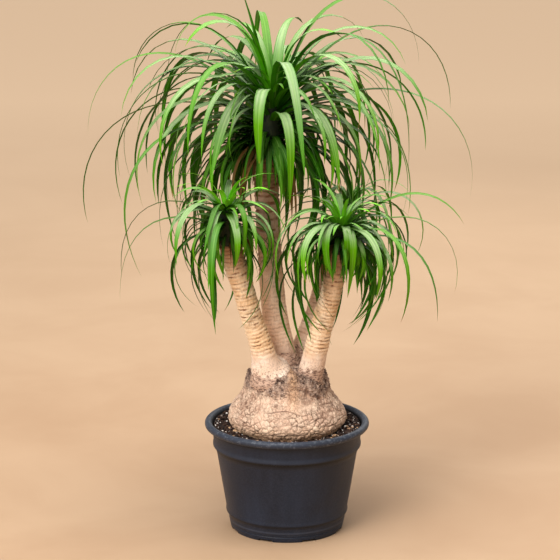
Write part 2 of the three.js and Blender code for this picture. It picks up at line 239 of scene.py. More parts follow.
# %% Node helpers
def add_node(tree, kind, inputs=None, **settings):
    """Adds a shader node. An input is a plain value, a socket to link, or the name of a mark on the mesh."""
    node = tree.nodes.new(kind)
    for setting, value in settings.items():
        setattr(node, setting, value)
    for name, value in (inputs or {}).items():
        if isinstance(value, str):
            value = marked(tree, value)
        if isinstance(value, bpy.types.NodeSocket):
            tree.links.new(value, node.inputs[name])
        else:
            node.inputs[name].default_value = value
    return node


def marked(tree, name):
    """The number that a mesh stores under a name."""
    return add_node(tree, "ShaderNodeAttribute", attribute_name=name).outputs["Fac"]


def paint(red, green, blue):
    """A colour given as 0 to 255 on a screen, turned into the linear values that shaders use."""
    return tuple((channel / 255) ** 2.2 for channel in (red, green, blue)) + (1.0,)


def mixed(tree, factor, first, second):
    """Mixes two colours, given as sockets or as screen colours, by a factor."""
    first, second = (paint(*value) if isinstance(value, tuple) else value for value in (first, second))
    inputs = {0: factor, 6: first, 7: second}
    return add_node(tree, "ShaderNodeMix", inputs, data_type="RGBA", clamp_factor=True).outputs[2]


def reckon(tree, operation, first, second=0.0):
    """The result of one operation on one or two values."""
    return add_node(tree, "ShaderNodeMath", {0: first, 1: second}, operation=operation).outputs[0]


def product(tree, first, *others):
    """The product of two or more values."""
    for other in others:
        first = reckon(tree, "MULTIPLY", first, other)
    return first


def spread(tree, value, low, high, start=0.0, end=1.0, **settings):
    """Stretches the values between low and high over start to end."""
    inputs = {"Value": value, "From Min": low, "From Max": high, "To Min": start, "To Max": end}
    return add_node(tree, "ShaderNodeMapRange", inputs, clamp=True, **settings).outputs["Result"]


def between(tree, value, rising, falling):
    """A mask that comes in over one pair of values and goes out over another."""
    return product(tree, spread(tree, value, *rising), spread(tree, value, *falling))


def layered(tree, colour, layers):
    """Lays colours over a first one, each by a mask or the name of a mark, and by a strength."""
    for mask, strength, tint in layers:
        colour = mixed(tree, product(tree, mask, strength), colour, tint)
    return colour


def new_material(name, roughness):
    """A named material with one Principled shader and its tree."""
    material = bpy.data.materials.new(name)
    material.use_nodes = True
    tree = material.node_tree
    tree.nodes.clear()
    output = tree.nodes.new("ShaderNodeOutputMaterial")
    shader = add_node(tree, "ShaderNodeBsdfPrincipled", {"Roughness": roughness})
    tree.links.new(shader.outputs["BSDF"], output.inputs["Surface"])
    return material, tree, shader


def surface(tree, shader, colour, height, strength, distance):
    """Feeds a colour into the shader, and a height through a Bump node."""
    tree.links.new(colour, shader.inputs["Base Color"])
    bump = add_node(tree, "ShaderNodeBump", {"Height": height, "Strength": strength, "Distance": distance})
    tree.links.new(bump.outputs["Normal"], shader.inputs["Normal"])


def coat(piece, material):
    """Makes a material the only one of a piece."""
    piece.data.materials.clear()
    piece.data.materials.append(material)


# %% Shared effects as node groups
def new_group(name, numbers_in, output):
    """An empty node group with a vector input, named number inputs and one number output."""
    tree = bpy.data.node_groups.new(name, "ShaderNodeTree")
    tree.interface.new_socket("Vector", in_out="INPUT", socket_type="NodeSocketVector")
    for socket, value in numbers_in.items():
        made = tree.interface.new_socket(socket, in_out="INPUT", socket_type="NodeSocketFloat")
        made.default_value = value
    tree.interface.new_socket(output, in_out="OUTPUT", socket_type="NodeSocketFloat")
    inside = tree.nodes.new("NodeGroupInput").outputs
    outside = tree.nodes.new("NodeGroupOutput").inputs
    return tree, inside, outside[output]


def noise_at(tree, vector, scale, detail, **inputs):
    """The outputs of a noise texture."""
    inputs = {"Vector": vector, "Scale": scale, "Detail": detail, **inputs}
    return add_node(tree, "ShaderNodeTexNoise", inputs).outputs


def make_grain():
    """Fine, even roughness, as on moulded plastic, bark or a leaf's skin."""
    tree, inside, outside = new_group("fine_grain", {"Scale": 800.0}, "Height")
    fine = noise_at(tree, inside["Vector"], inside["Scale"], 3.0, Roughness=0.6)["Fac"]
    tree.links.new(fine, outside)
    return tree


def make_patches():
    """Large soft patches, for dust, stains and uneven colour."""
    tree, inside, outside = new_group("soft_patches", {"Scale": 20.0, "Low": 0.4, "High": 0.65}, "Mask")
    soft = noise_at(tree, inside["Vector"], inside["Scale"], 4.0, Roughness=0.55, Distortion=0.4)["Fac"]
    mask = spread(tree, soft, inside["Low"], inside["High"], interpolation_type="SMOOTHSTEP")
    tree.links.new(mask, outside)
    return tree


def make_specks():
    """Scattered small specks, such as lichen dots on bark or salt in soil."""
    tree, inside, outside = new_group("small_specks", {"Scale": 500.0, "Size": 0.25}, "Mask")
    cells = add_node(tree, "ShaderNodeTexVoronoi", {"Vector": inside["Vector"], "Scale": inside["Scale"]})
    tree.links.new(spread(tree, cells.outputs["Distance"], inside["Size"], 0.02), outside)
    return tree


def make_cracks():
    """Thin cracks between irregular plates, broken up so that they come and go."""
    tree, inside, outside = new_group("thin_cracks", {"Scale": 200.0, "Width": 0.08}, "Mask")
    shift = noise_at(tree, inside["Vector"], 160.0, 2.0)["Color"]
    shift = add_node(tree, "ShaderNodeVectorMath", {0: shift, 1: (0.005, 0.005, 0.005)}, operation="MULTIPLY")
    place = {0: inside["Vector"], 1: shift.outputs["Vector"]}
    place = add_node(tree, "ShaderNodeVectorMath", place, operation="ADD").outputs["Vector"]
    cells = {"Vector": place, "Scale": inside["Scale"]}
    cells = add_node(tree, "ShaderNodeTexVoronoi", cells, feature="DISTANCE_TO_EDGE").outputs["Distance"]
    thin = spread(tree, cells, inside["Width"], 0.0)
    kept = spread(tree, noise_at(tree, inside["Vector"], 55.0, 2.0)["Fac"], 0.4, 0.6)
    tree.links.new(product(tree, thin, kept), outside)
    return tree


GRAIN = make_grain()
PATCHES = make_patches()
SPECKS = make_specks()
CRACKS = make_cracks()
print("shared effects:", GRAIN.name, PATCHES.name, SPECKS.name, CRACKS.name)


# %% Effects laid over a piece
def use_group(tree, group, vector, output, **values):
    """Places a shared effect in a material with its own values."""
    node = tree.nodes.new("ShaderNodeGroup")
    node.node_tree = group
    tree.links.new(vector, node.inputs["Vector"])
    for name, value in values.items():
        node.inputs[name].default_value = value
    return node.outputs[output]


def object_place(tree, stretch=(1, 1, 1)):
    """The piece's own coordinates, stretched if the pattern runs along one axis."""
    place = add_node(tree, "ShaderNodeTexCoord").outputs["Object"]
    if stretch == (1, 1, 1):
        return place
    return add_node(tree, "ShaderNodeMapping", {"Vector": place, "Scale": stretch}).outputs["Vector"]


def place_along(tree, axis):
    """The piece's own coordinate along one axis, in metres."""
    return add_node(tree, "ShaderNodeSeparateXYZ", {"Vector": object_place(tree)}).outputs[axis]


def grain(tree, scale, stretch=(1, 1, 1)):
    """Fine grain over a piece, as a height."""
    return use_group(tree, GRAIN, object_place(tree, stretch), "Height", Scale=scale)


def patches(tree, scale, low, high, stretch=(1, 1, 1)):
    """Soft patches over a piece, as a mask."""
    return use_group(tree, PATCHES, object_place(tree, stretch), "Mask", Scale=scale, Low=low, High=high)


def specks(tree, scale, size):
    """Specks over a piece, as a mask."""
    return use_group(tree, SPECKS, object_place(tree), "Mask", Scale=scale, Size=size)


def cracks(tree, scale, width, stretch=(1, 1, 1)):
    """Thin cracks over a piece, as a mask."""
    return use_group(tree, CRACKS, object_place(tree, stretch), "Mask", Scale=scale, Width=width)


# %% [markdown]
# ## The pot
# The real pot is moulded from charcoal plastic: a tapering wall, a rolled rim, a shoulder step under it, a
# second step near the foot, and drain slots at the foot's edge. A lathe outline with enough points to round
# each step reads better than bevels, so the outline is spun, and the slots are cut out of it.

# %% Pot outline
RIM_CENTRE = (129.1, 176.6)
RIM_BEAD = 5.9
POT_STEPS = 128

foot = [(0, 0), (91.2, 0), (92.2, 0.4), (92.8, 1.6), (94.1, 8.4), (93.5, 9.1), (93.5, 9.8), (94.7, 10.7)]
foot_bead = [(95, 13.6), (95.7, 15), (95.9, 16.4), (95.8, 17.6), (96, 19)]
lower_step = [
    (96.7, 22.4), (97, 23.4), (98.5, 26), (99.7, 27.6), (100.5, 29.2), (100.7, 31), (100.5, 33.5),
    (100.3, 37),
]
shoulder = [
    (115.6, 129.6), (116, 131.2), (117.6, 134.8), (118.8, 138), (119.2, 139.6), (120.9, 140.2),
    (121.7, 141.4), (121.9, 143.6), (121.7, 145.4), (121.1, 148), (120.9, 151),
]
under_rim = [(122.3, 166), (122.8, 168), (124.4, 170)]
rim = []
for degrees in range(-108, 157, 12):
    turn = math.radians(degrees)
    rim.append((RIM_CENTRE[0] + RIM_BEAD * math.cos(turn), RIM_CENTRE[1] + RIM_BEAD * math.sin(turn)))
inside_wall = [
    (122.6, 177), (121.2, 169), (118.2, 140), (113.6, 132), (97, 28), (94.4, 22), (90, 4), (0, 4),
]
pot_outline = foot + foot_bead + lower_step + shoulder + under_rim + rim + inside_wall
pot = spin_outline("pot_shell", pot_outline, POT_STEPS)
print("pot shell:", triangles_in(pot), "triangles")

# %% Drain slots
SLOT_COUNT = 8
SLOT_REACH = 91.5
SLOT_SIZE = (20 * MM, 24 * MM, 7 * MM)
POT_FLOOR = 3

cutters = []
for slot in range(SLOT_COUNT):
    turn = 2 * math.pi * (slot + 0.5) / SLOT_COUNT
    place = (SLOT_REACH * MM * math.cos(turn), SLOT_REACH * MM * math.sin(turn), 0)
    clear_selection()
    bpy.ops.mesh.primitive_cube_add(size=1, location=place, rotation=(0, 0, turn), scale=SLOT_SIZE)
    bpy.ops.object.transform_apply(location=True, rotation=True, scale=True)
    cutters.append(bpy.context.object)
slots = join_all(cutters, "slot_cutters")
apply_modifier(pot, "BOOLEAN", operation="DIFFERENCE", object=slots, solver="EXACT")
discard(slots)
smooth_by_angle(pot, 32)
points = points_of(pot)
facing_out = np.sum(points[:, :2] * normals_of(pot)[:, :2], axis=1) / np.maximum(from_axis(points), 1)
enclosed = ease(RIM_CENTRE[1] + 3.5, RIM_CENTRE[1], points[:, 2]) * (points[:, 2] > POT_FLOOR)
# The inside of the pot is marked to be painted near black, as painted shade.
mark(pot, inner=ease(0.25, -0.2, facing_out) * enclosed)
print("pot with", SLOT_COUNT, "drain slots:", triangles_in(pot), "triangles")

# %% [markdown]
# The plastic is nearly black and a little blue. It is never one flat grey: the mould leaves a fine grain,
# a little dried soil lies near the foot, and faint paler upright streaks are painted soft highlights. The
# rim's top is painted lighter, a painted highlight mixed with mottled wear, the steps get a painted
# highlight line above and a painted shade line below, and the inside is painted near black as painted
# shade. The streaks are patches on coordinates that are squeezed upwards.

# %% Charcoal plastic
plastic, tree, shader = new_material("charcoal_plastic", 0.5)
shader.inputs["Specular IOR Level"].default_value = 0.32
haze = patches(tree, 9.0, 0.34, 0.7)
height = place_along(tree, "Z")
rim_highlight_and_wear = spread(tree, height, 0.1695, 0.1715)
dusty = product(tree, spread(tree, height, 0.05, 0.0), specks(tree, 420.0, 0.4))
colour = layered(tree, mixed(tree, haze, (22, 29, 41), (30, 38, 52)), [
    # Paler upright streaks: painted soft highlights running up the wall.
    (patches(tree, 46.0, 0.38, 0.72, (1, 1, 0.12)), 0.25, (44, 50, 66)),
    (patches(tree, 420.0, 0.34, 0.74), 0.22, (58, 64, 78)),
    # Painted shade in the creases under the shoulder and the lower step, and painted highlight lines on the
    # beads above them.
    (between(tree, height, (0.131, 0.139), (0.1425, 0.1405)), 0.85, (6, 7, 9)),
    (between(tree, height, (0.024, 0.027), (0.031, 0.0285)), 0.6, (8, 9, 12)),
    (between(tree, height, (0.1415, 0.1435), (0.151, 0.147)), 0.12, (78, 84, 98)),
    (between(tree, height, (0.0145, 0.0155), (0.0185, 0.0175)), 0.25, (78, 84, 98)),
    # The rim's top is painted lighter: a painted highlight, with mottled wear in its palest patches.
    (rim_highlight_and_wear, 0.4, (58, 64, 76)),
    (product(tree, rim_highlight_and_wear, patches(tree, 240.0, 0.5, 0.7)), 0.4, (112, 116, 124)),
    # Painted shade: the inside of the pot near black.
    ("inner", 0.96, (5, 5, 6)),
    (dusty, 0.3, (110, 96, 82)),
])
tree.links.new(spread(tree, haze, 0, 1, 0.42, 0.56), shader.inputs["Roughness"])
surface(tree, shader, colour, grain(tree, 900.0), 0.35, 0.0005)
coat(pot, plastic)
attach(pot, "root")
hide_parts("pot")

# %% [markdown]
# ## The soil
# Potting mix is a dark, crumbly bed a little below the rim, and higher at the back than in front. Its bed
# is spun with a bowl for the swollen base, whose outline is written down here for both, and the open ring
# is then tilted and roughened point by point, with lumps of several sizes, because a smooth ring would look
# like rubber.

# %% Soil bed
BASE_OUTLINE = [
    (50, 110), (64, 124), (75, 146), (84, 168), (94.5, 180), (96.5, 185.5), (96.2, 192), (93.8, 199),
    (90.4, 206.5), (85, 214.5), (78.5, 222.5), (73.5, 230), (70.5, 238), (68.5, 247), (65.5, 257),
    (60.5, 266), (50, 272),
]
SOIL_LEVEL = 173.5
SOIL_SLOPE = 0.05
SOIL_EDGE = 120.5
RING_STEPS = 288

drawn_radii, drawn_heights = zip(*BASE_OUTLINE)


def base_radius(height):
    """How far the swollen base reaches from the axis at a height, before its bark is raised."""
    return np.interp(height, drawn_heights, drawn_radii)


ring = [(radius, SOIL_LEVEL) for radius in np.arange(SOIL_EDGE, 83, -1.25)]
bowl = [(82, 164), (73, 146), (62, 124), (49, 110), (49, 109.6), (0, 109.6)]
walls = [(0, 4.4), (88.7, 4.4), (95.4, 28), (112.3, 132), (117.4, 160)]
soil = spin_outline("soil_bed", walls + ring + bowl, RING_STEPS)

points = points_of(soil)
open_ring = points[:, 2] > SOIL_LEVEL - 1
lumps = 2.2 * cloud(points, 9.0, 1.0) + 1.6 * cloud(points, 3.6, 4.0) + 0.9 * cloud(points, 1.7, 8.0)
lumps += 1.2 * cloud(points, 30.0, 12.0) - 0.5
lumps *= ease(SOIL_EDGE, 117, from_axis(points))
points[:, 2] += np.where(open_ring, SOIL_SLOPE * points[:, 1] + lumps, 0)
set_points(soil, points)
smooth_by_angle(soil, 75)
print("soil bed:", triangles_in(soil), "triangles")

# %% Soil finish
earth, tree, shader = new_material("potting_mix", 0.95)
colour = layered(tree, mixed(tree, patches(tree, 60.0, 0.4, 0.62), (24, 15, 11), (56, 37, 27)), [
    (specks(tree, 380.0, 0.3), 0.3, (130, 98, 76)),
])
surface(tree, shader, colour, grain(tree, 700.0), 0.8, 0.0012)
coat(soil, earth)
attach(soil, "root")
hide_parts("soil")

# %% [markdown]
# Loose crumbs lie on the bed: dark clods, white perlite, and flat chips of bark. One small, uneven stone of
# twenty faces is enough as a pattern, since it is copied hundreds of times, and each copy is stretched and
# turned its own way.


# %% Crumbs of soil, perlite and bark
POT_WALL = 118.5


def crumb_pattern():
    """A small uneven stone, one millimetre across."""
    clear_selection()
    bpy.ops.mesh.primitive_ico_sphere_add(subdivisions=1, radius=0.5 * MM)
    stone = bpy.context.object
    shaped = [point * (1 + 0.35 * (draw(index, 3) - 0.5)) for index, point in enumerate(points_of(stone))]
    set_points(stone, np.array(shaped))
    return stone


def scatter_crumbs(name, count, seed, sizes, flatness, material):
    """Copies the stone over the open ring of soil, between the swollen base and the pot's wall."""
    pattern = crumb_pattern()
    copies = []
    for index in range(count):
        pick = draws(index + seed, range(10))
        around = 2 * math.pi * pick[0]
        size = sizes[0] + (sizes[1] - sizes[0]) * pick[2] ** 2
        inner = base_radius(SOIL_LEVEL + SOIL_SLOPE * 88 * math.sin(around)) + 1.5
        radius = inner + (POT_WALL - inner) * pick[1] ** 0.8
        lift = SOIL_LEVEL + SOIL_SLOPE * radius * math.sin(around) + 0.6 + (pick[3] - 0.3) * 1.8
        shape = Matrix.Diagonal((size * (0.7 + pick[4]), size * (0.6 + 0.6 * pick[5]), size * flatness, 1))
        tilt = Matrix.Rotation(0.9 * (pick[6] - 0.5), 4, "X") @ Matrix.Rotation(0.9 * (pick[7] - 0.5), 4, "Y")
        turn = Matrix.Rotation(2 * math.pi * pick[8], 4, "Z")
        place = Vector((radius * math.cos(around), radius * math.sin(around), lift)) * MM
        twin = copy_of(pattern)
        twin.data.transform(Matrix.Translation(place) @ turn @ tilt @ shape)
        mark(twin, tone=pick[9])
        copies.append(twin)
    discard(pattern)
    piece = join_all(copies, name)
    coat(piece, material)
    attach(piece, "root")
    print(name, "has", count, "crumbs and", triangles_in(piece), "triangles")


def crumb_material(name, dark, light, roughness):
    """A dry, dusty finish between two colours, by each crumb's own tone."""
    material, tree, shader = new_material(name, roughness)
    stain = patches(tree, 300.0, 0.4, 0.7)
    colour = layered(tree, mixed(tree, "tone", dark, light), [(stain, 0.4, dark)])
    surface(tree, shader, colour, grain(tree, 1500.0), 0.6, 0.0004)
    return material


clod_finish = crumb_material("dark_clod", (20, 12, 9), (72, 47, 34), 0.95)
perlite_finish = crumb_material("perlite", (176, 160, 148), (238, 230, 222), 0.85)
chip_finish = crumb_material("bark_chip", (120, 84, 60), (206, 168, 130), 0.9)
scatter_crumbs("soil_clods", 1200, 100, (1.8, 5.5), 0.75, clod_finish)
scatter_crumbs("perlite_crumbs", 190, 2100, (1.4, 4.8), 0.8, perlite_finish)
scatter_crumbs("bark_chips", 110, 4100, (2.6, 9.0), 0.35, chip_finish)

# %% [markdown]
# ## The swollen base
# The base stores water and its cork skin has split into small plates, seven to nine millimetres across,
# with brown cracks between them. Higher up the plates turn into upright flakes, and a ragged dark collar
# runs round the foot of the trunks. A texture alone would leave the edge of the base smooth, so the plates
# are real relief: each point of a densely spun form is raised by how far it lies from the nearest crack. A
# crack runs where two plates' centres are equally far away, which is what a Voronoi pattern is.

# %% Base form
BASE_STEPS = 600
SKIN_FROM = 164

fine_heights = np.arange(SKIN_FROM, 266.1, 1.0)
near = [base_radius(fine_heights + shift) for shift in (-2.5, -1.25, 0, 1.25, 2.5)]
skin = list(zip(np.mean(near, axis=0), fine_heights))
crown_of_base = [(radius, 267.5 + 8.5 * (1 - (radius / 60) ** 2)) for radius in np.arange(57, 1, -2.0)]
hidden_foot = [(0, 110.3), (49, 110.3), (63, 124), (74, 146)]
base = spin_outline("swollen_base", hidden_foot + skin + crown_of_base + [(0, 276)], BASE_STEPS)
print("base form:", triangles_in(base), "triangles")


# %% Plates of cork
def plate_centres():
    """Centres of the cork plates in staggered rows, closer round than up where they turn to flakes."""
    centres = []
    height = float(SKIN_FROM)
    row = 0
    while height < 274:
        radius = base_radius(height)
        flaky = float(ease(202, 232, height))
        width = 9.2 - 2.4 * flaky
        rise = 7.2 + 2.2 * flaky
        count = int(2 * math.pi * radius / width)
        for index in range(count):
            luck = draws(index + row * 131, (11, 12))
            around = 2 * math.pi * (index + 0.5 * (row % 2) + 0.95 * (luck[0] - 0.5)) / count
            up = height + 0.95 * rise * (luck[1] - 0.5)
            out = base_radius(up)
            centres.append((out * math.sin(around), -out * math.cos(around), up))
        height += rise
        row += 1
    return centres


centres = plate_centres()
tree_of_centres = kdtree.KDTree(len(centres))
for index, centre in enumerate(centres):
    tree_of_centres.insert(centre, index)
tree_of_centres.balance()

points = points_of(base)
bent = points + 2.6 * np.stack([cloud(points, 6.0, seed) for seed in (20.0, 30.0, 40.0)], axis=1)
nearest = [tree_of_centres.find_n(point, 2) for point in bent]
first = np.array([centres[pair[0][1]] for pair in nearest])
second = np.array([centres[pair[1][1]] for pair in nearest])
to_first = np.linalg.norm(bent - first, axis=1)
to_second = np.linalg.norm(bent - second, axis=1)
from_crack = (to_second ** 2 - to_first ** 2) / (2 * np.linalg.norm(second - first, axis=1))
plate_luck = np.array([draw(pair[0][1], 17) for pair in nearest])
print("cork plates:", len(centres))

# %% [markdown]
# Long cracks run across many plates, each at a height, round a middle, with a reach and a depth. Dark
# stains sit in pits, each at a place round the base, a height and a size. Angles are in radians from the
# front.


# %% Relief of the base
def ridge_at(value, middle, reach):
    """One at the middle, falling off smoothly to nothing a few reaches away."""
    return np.exp(-(((value - middle) / reach) ** 2))


COLLAR_LEVEL = 241
STAIN_RADIUS = 78
LONG_CRACKS = [
    (216, -0.08, 0.42, 1.0), (203, 0.55, 0.3, 0.8), (184, -0.4, 0.5, 0.9), (181, 0.08, 0.4, 0.8),
    (220, 0.97, 0.25, 0.7), (212, 0.75, 0.35, 0.5), (190, -0.9, 0.5, 0.8), (192, 1.0, 0.5, 0.8),
    (206, -1.0, 0.3, 0.6), (196, 0.1, 0.3, 0.5), (214, 2.6, 0.7, 0.9), (194, 3.6, 0.9, 0.8),
    (222, -2.0, 0.6, 0.8), (202, -2.8, 0.6, 0.7),
]
STAINS = [
    (-0.92, 231, 6), (-0.24, 226, 4), (0.07, 239, 5), (0.46, 245, 6), (-0.98, 222, 9), (0.4, 232, 7),
    (0.8, 232, 6), (-0.6, 219, 5), (1.5, 228, 8), (2.4, 232, 9), (-1.9, 226, 8), (-2.6, 236, 9),
]
around = np.arctan2(points[:, 0], -points[:, 1])
height = points[:, 2]
wander = 3.0 * cloud(points, 34.0, 50.0)
plated = 1 - 0.6 * ease(204, 230, height + 2.5 * wander)
deep_crack = np.clip(0.75 + 1.1 * cloud(points, 20.0, 55.0), 0.3, 1.15)
edge_of_collar = height + 2.4 * wander + 7 * cloud(points, 8.0, 51.0) - COLLAR_LEVEL
edge_of_collar += (7 * ridge_at(around, 1.0, 0.35) - 4 * ridge_at(around, -1.5, 0.4)
                   - 10 * ridge_at(around, 0.2, 0.12))
collar = ease(-4, 4, edge_of_collar)

crack = (1 - ease(0.08, 0.85, from_crack)) * deep_crack
dome = ease(0, 2.4, from_crack)
seam = 4.0 * ridge_at(around, 0.14, 0.13) * ease(202, 246, height)
long_cracks = np.zeros(len(points))
for level, middle, reach_round, depth in LONG_CRACKS:
    apart = np.abs((around - middle + math.pi) % (2 * math.pi) - math.pi)
    along = 1 - ease(0.6 * reach_round, reach_round, apart)
    bent_level = level + 1.5 * wander + 1.6 * np.sin(9 * around + level)
    long_cracks = np.maximum(long_cracks, depth * along * ridge_at(height, bent_level, 0.75))
pits = np.zeros(len(points))
for middle, level, size in STAINS:
    from_stain = np.hypot((around - middle) * STAIN_RADIUS, height - level) / size
    spotty = np.clip(0.8 + 0.8 * cloud(points, 3.0, 96.0), 0, 1)
    pits = np.maximum(pits, np.exp(-(from_stain ** 2)) * spotty)
strand = np.abs(cloud(points * (0.55, 0.55, 1.5) + bent * 0.3, 4.6, 60.0))
tuft = np.abs(cloud(points * (1, 1, 0.8), 8.0, 70.0))
strokes = 1 - ease(0.02, 0.16, np.abs(cloud(points * (1, 1, 0.4), 5.0, 44.0)))
strokes *= (ease(198, 214, height) * (1 - ease(236, 248, height))
            * (0.25 + 0.75 * ease(0.4, 0.75, np.abs(around))))
# The dark mark mixes the collar's own dark bark, in blotches and a patch on the right, with painted shade: a
# painted shadow under the overhanging feet of the trunks, a painted shadow along the collar's lower edge, and
# more shade on the front left.
to_front_left = ridge_at(around, -0.55, 0.55)
to_right = ridge_at(around, 0.85, 0.45)
ragged_edge = ridge_at(edge_of_collar, -1.0, 2.6) * (0.35 + 0.65 * to_front_left)
painted_shadow_under_feet = ridge_at(height, 264, 4.5) * (0.5 + 0.5 * to_front_left)
right_patch = to_right * ease(246, 258, height)
blotch = 0.8 * cloud(points, 16.0, 62.0) + 1.8 * cloud(points, 6.5, 64.0)
dark = 0.22 + 0.2 * to_front_left + 0.9 * painted_shadow_under_feet + 0.9 * ragged_edge + 0.15 * right_patch + blotch
dark = np.clip(dark, 0, 1)
ledge = 1.2 * ease(-4, 3, edge_of_collar) - 1.5 * ragged_edge
lift = plated * (0.8 * dome - 1.1 * crack + 1.0 * (plate_luck - 0.5)) - 1.2 * long_cracks + seam
lift += collar * (2.6 * tuft + 2.4 * strand - 2.2) + ledge - 0.5 * pits - 0.7 * strokes * (1 - collar)
lift += (0.7 * cloud(points, 2.4, 80.0) * (1 - 0.4 * plated) + 1.1 * cloud(points, 7.0, 85.0)
         + 1.5 * cloud(points, 40.0, 90.0))
lift *= ease(SKIN_FROM, 170, height) * ease(1, 20, from_axis(points))
set_points(base, points + normals_of(base) * lift[:, None])
all_cracks = np.maximum(crack * (0.25 + 0.75 * plated), long_cracks)
# dark carries painted shade as well as dark bark, and torn is darkest where that painted shade lies.
mark(
    base,
    crack=np.clip(np.maximum(all_cracks, 0.8 * strokes), 0, 1),
    dark=dark * collar,
    torn=np.clip(collar * (1 - ease(0.03, 0.2, strand)) * (0.35 + 0.65 * dark), 0, 1),
    pit=pits,
    plate=plate_luck,
    collar=collar,
    ridge=np.clip(seam / 4, 0, 1),
)
smooth(base)
print("relief runs from", round(float(lift.min()), 1), "to", round(float(lift.max()), 1), "mm")

# %% [markdown]
# The cork is pinkish tan, each plate a little different, with dark brown in the cracks. Close to the soil
# it is more orange, and the collar is greyer, with torn and nearly black places. Part of the collar's dark
# is painted shade: a painted shadow under the trunks' feet, another along its lower ledge, and more on the
# front left. The marks that the relief stored drive all of this, so the colour can't slide off the plates.

# %% Cork finish
cork, tree, shader = new_material("cork_plates", 0.88)
height = place_along(tree, "Z")
stain = patches(tree, 38.0, 0.36, 0.66)
finer_stain = patches(tree, 520.0, 0.42, 0.66, (1, 1, 1.4))
strands = patches(tree, 230.0, 0.42, 0.62, (1, 1, 2.4))
# Dark streaks on the collar follow the dark mark, painted shade included.
streaky = product(tree, reckon(tree, "ADD", product(tree, strands, 0.55), 0.45), "dark")
fine_cracks = cracks(tree, 230.0, 0.06)
speckled = product(tree, specks(tree, 400.0, 0.3), spread(tree, height, 0.19, 0.225, 0.1, 0.55))
old_skin = layered(tree, mixed(tree, stain, (220, 190, 168), (192, 160, 138)), [
    (finer_stain, 0.65, (112, 82, 70)),
    (streaky, 1.0, (50, 32, 28)),
])
colour = layered(tree, mixed(tree, "plate", (238, 202, 174), (252, 224, 196)), [
    (spread(tree, height, 0.198, 0.174), 0.6, (236, 180, 120)),
    (stain, 0.35, (208, 164, 140)),
    (patches(tree, 210.0, 0.4, 0.68), 0.3, (184, 142, 118)),
    (finer_stain, 0.22, (168, 124, 98)),
    ("collar", 1.0, old_skin),
    ("pit", 0.6, (122, 80, 58)),
    ("ridge", 0.55, (226, 176, 132)),
    (speckled, 1.0, (96, 64, 50)),
    (fine_cracks, 0.6, (112, 76, 56)),
    (cracks(tree, 430.0, 0.1, (1, 1, 1.5)), 0.5, (124, 86, 64)),
    ("torn", 0.9, (50, 32, 27)),
    ("crack", 0.9, (96, 60, 40)),
])
uneven = reckon(tree, "SUBTRACT", grain(tree, 850.0), product(tree, fine_cracks, 0.8))
surface(tree, shader, colour, uneven, 0.9, 0.0012)
coat(base, cork)
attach(base, "root")
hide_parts("trunk")

# %% [markdown]
# Torn flakes of old bark stand up round the collar and in the fork between the trunks. One thin plate with
# a ragged upper edge is the pattern, and each flake leans out by its own angle. A row of flakes has a
# level, a count, a height, a lean, and the share of it that is dark.


# %% Bark flakes
FLAKE_CUTS = [((-0.17, 0, 0), (1, 0, 0)), ((0.2, 0, 0), (1, 0, 0)), ((0, 0, 0.55), (0, 0, 1))]


def flake_pattern():
    """A thin plate, one millimetre wide and high, with its lower edge at the origin."""
    clear_selection()
    bpy.ops.mesh.primitive_cube_add(size=1, location=(0, 0, 0.5), scale=(1, 0.16, 1))
    flake = bpy.context.object
    bpy.ops.object.transform_apply(location=True, rotation=True, scale=True)
    bpy.ops.object.mode_set(mode="EDIT")
    for place, direction in FLAKE_CUTS:
        bpy.ops.mesh.select_all(action="SELECT")
        bpy.ops.mesh.bisect(plane_co=place, plane_no=direction)
    bpy.ops.object.mode_set(mode="OBJECT")
    flake.data.transform(Matrix.Scale(MM, 4))
    points = points_of(flake)
    top = points[:, 2] > 0.9
    points[:, 2] -= np.where(top, [0.5 * draw(int(10 * (x + 1)), 21) for x in points[:, 0]], 0)
    points[:, 0] *= np.where(top, 0.62, 1)
    points[:, 1] *= np.where(top, 0.35, 1)
    points[:, 1] += 0.22 * points[:, 2] ** 2
    set_points(flake, points)
    return flake


def stand_flake(pattern, place, outward, size, lean, roll, tone):
    """One flake at a place in millimetres, with its face turned outward and its top leaning out."""
    twin = copy_of(pattern)
    turn = math.atan2(outward[1], outward[0]) - math.pi / 2
    pose = Matrix.Rotation(turn, 4, "Z") @ Matrix.Rotation(-lean, 4, "X") @ Matrix.Rotation(roll, 4, "Y")
    twin.data.transform(Matrix.Translation(Vector(place) * MM) @ pose @ Matrix.Diagonal((*size, 1)))
    mark(twin, tone=tone)
    return twin


FLAKE_ROWS = [
    (239, 70, 3.4, 0.6, 0.9), (243, 60, 3.6, 0.6, 0.5), (248, 50, 3.4, 0.5, 0.25),
    (253, 50, 3.4, 0.4, 0.25), (258, 60, 4.4, 0.5, 0.4), (262, 80, 5.4, 0.55, 0.75),
    (266, 90, 5.4, 0.4, 0.95), (269, 70, 4.6, 0.15, 0.7),
]
flake = flake_pattern()
flakes = []
for row, (level, count, tall, lean, dark_share) in enumerate(FLAKE_ROWS):
    for index in range(count):
        luck = draws(index + 97 * row, range(30, 38))
        turn = 2 * math.pi * (index + 0.8 * luck[0]) / count
        if abs(turn - 0.14) < 0.14 or turn > 2 * math.pi - 0.03:
            continue
        up = level + 4 * (luck[1] - 0.5) - 3 * math.sin(3 * turn + 1)
        out = float(base_radius(up)) - 0.6
        outward = (math.sin(turn), -math.cos(turn))
        place = (out * outward[0], out * outward[1], up - 1.5)
        size = (2.2 + 4.6 * luck[2] ** 2, 3 + 2 * luck[3], tall * (0.4 + 0.75 * luck[4]))
        leaning = lean * (0.4 + 1.1 * luck[5])
        tone = luck[7] * (1 - dark_share) + (1 - dark_share) * 0.5 + 0.3 * (luck[7] - 0.5)
        tone = min(max(tone, 0), 1)
        flakes.append(stand_flake(flake, place, outward, size, leaning, 0.5 * (luck[6] - 0.5), tone))
discard(flake)
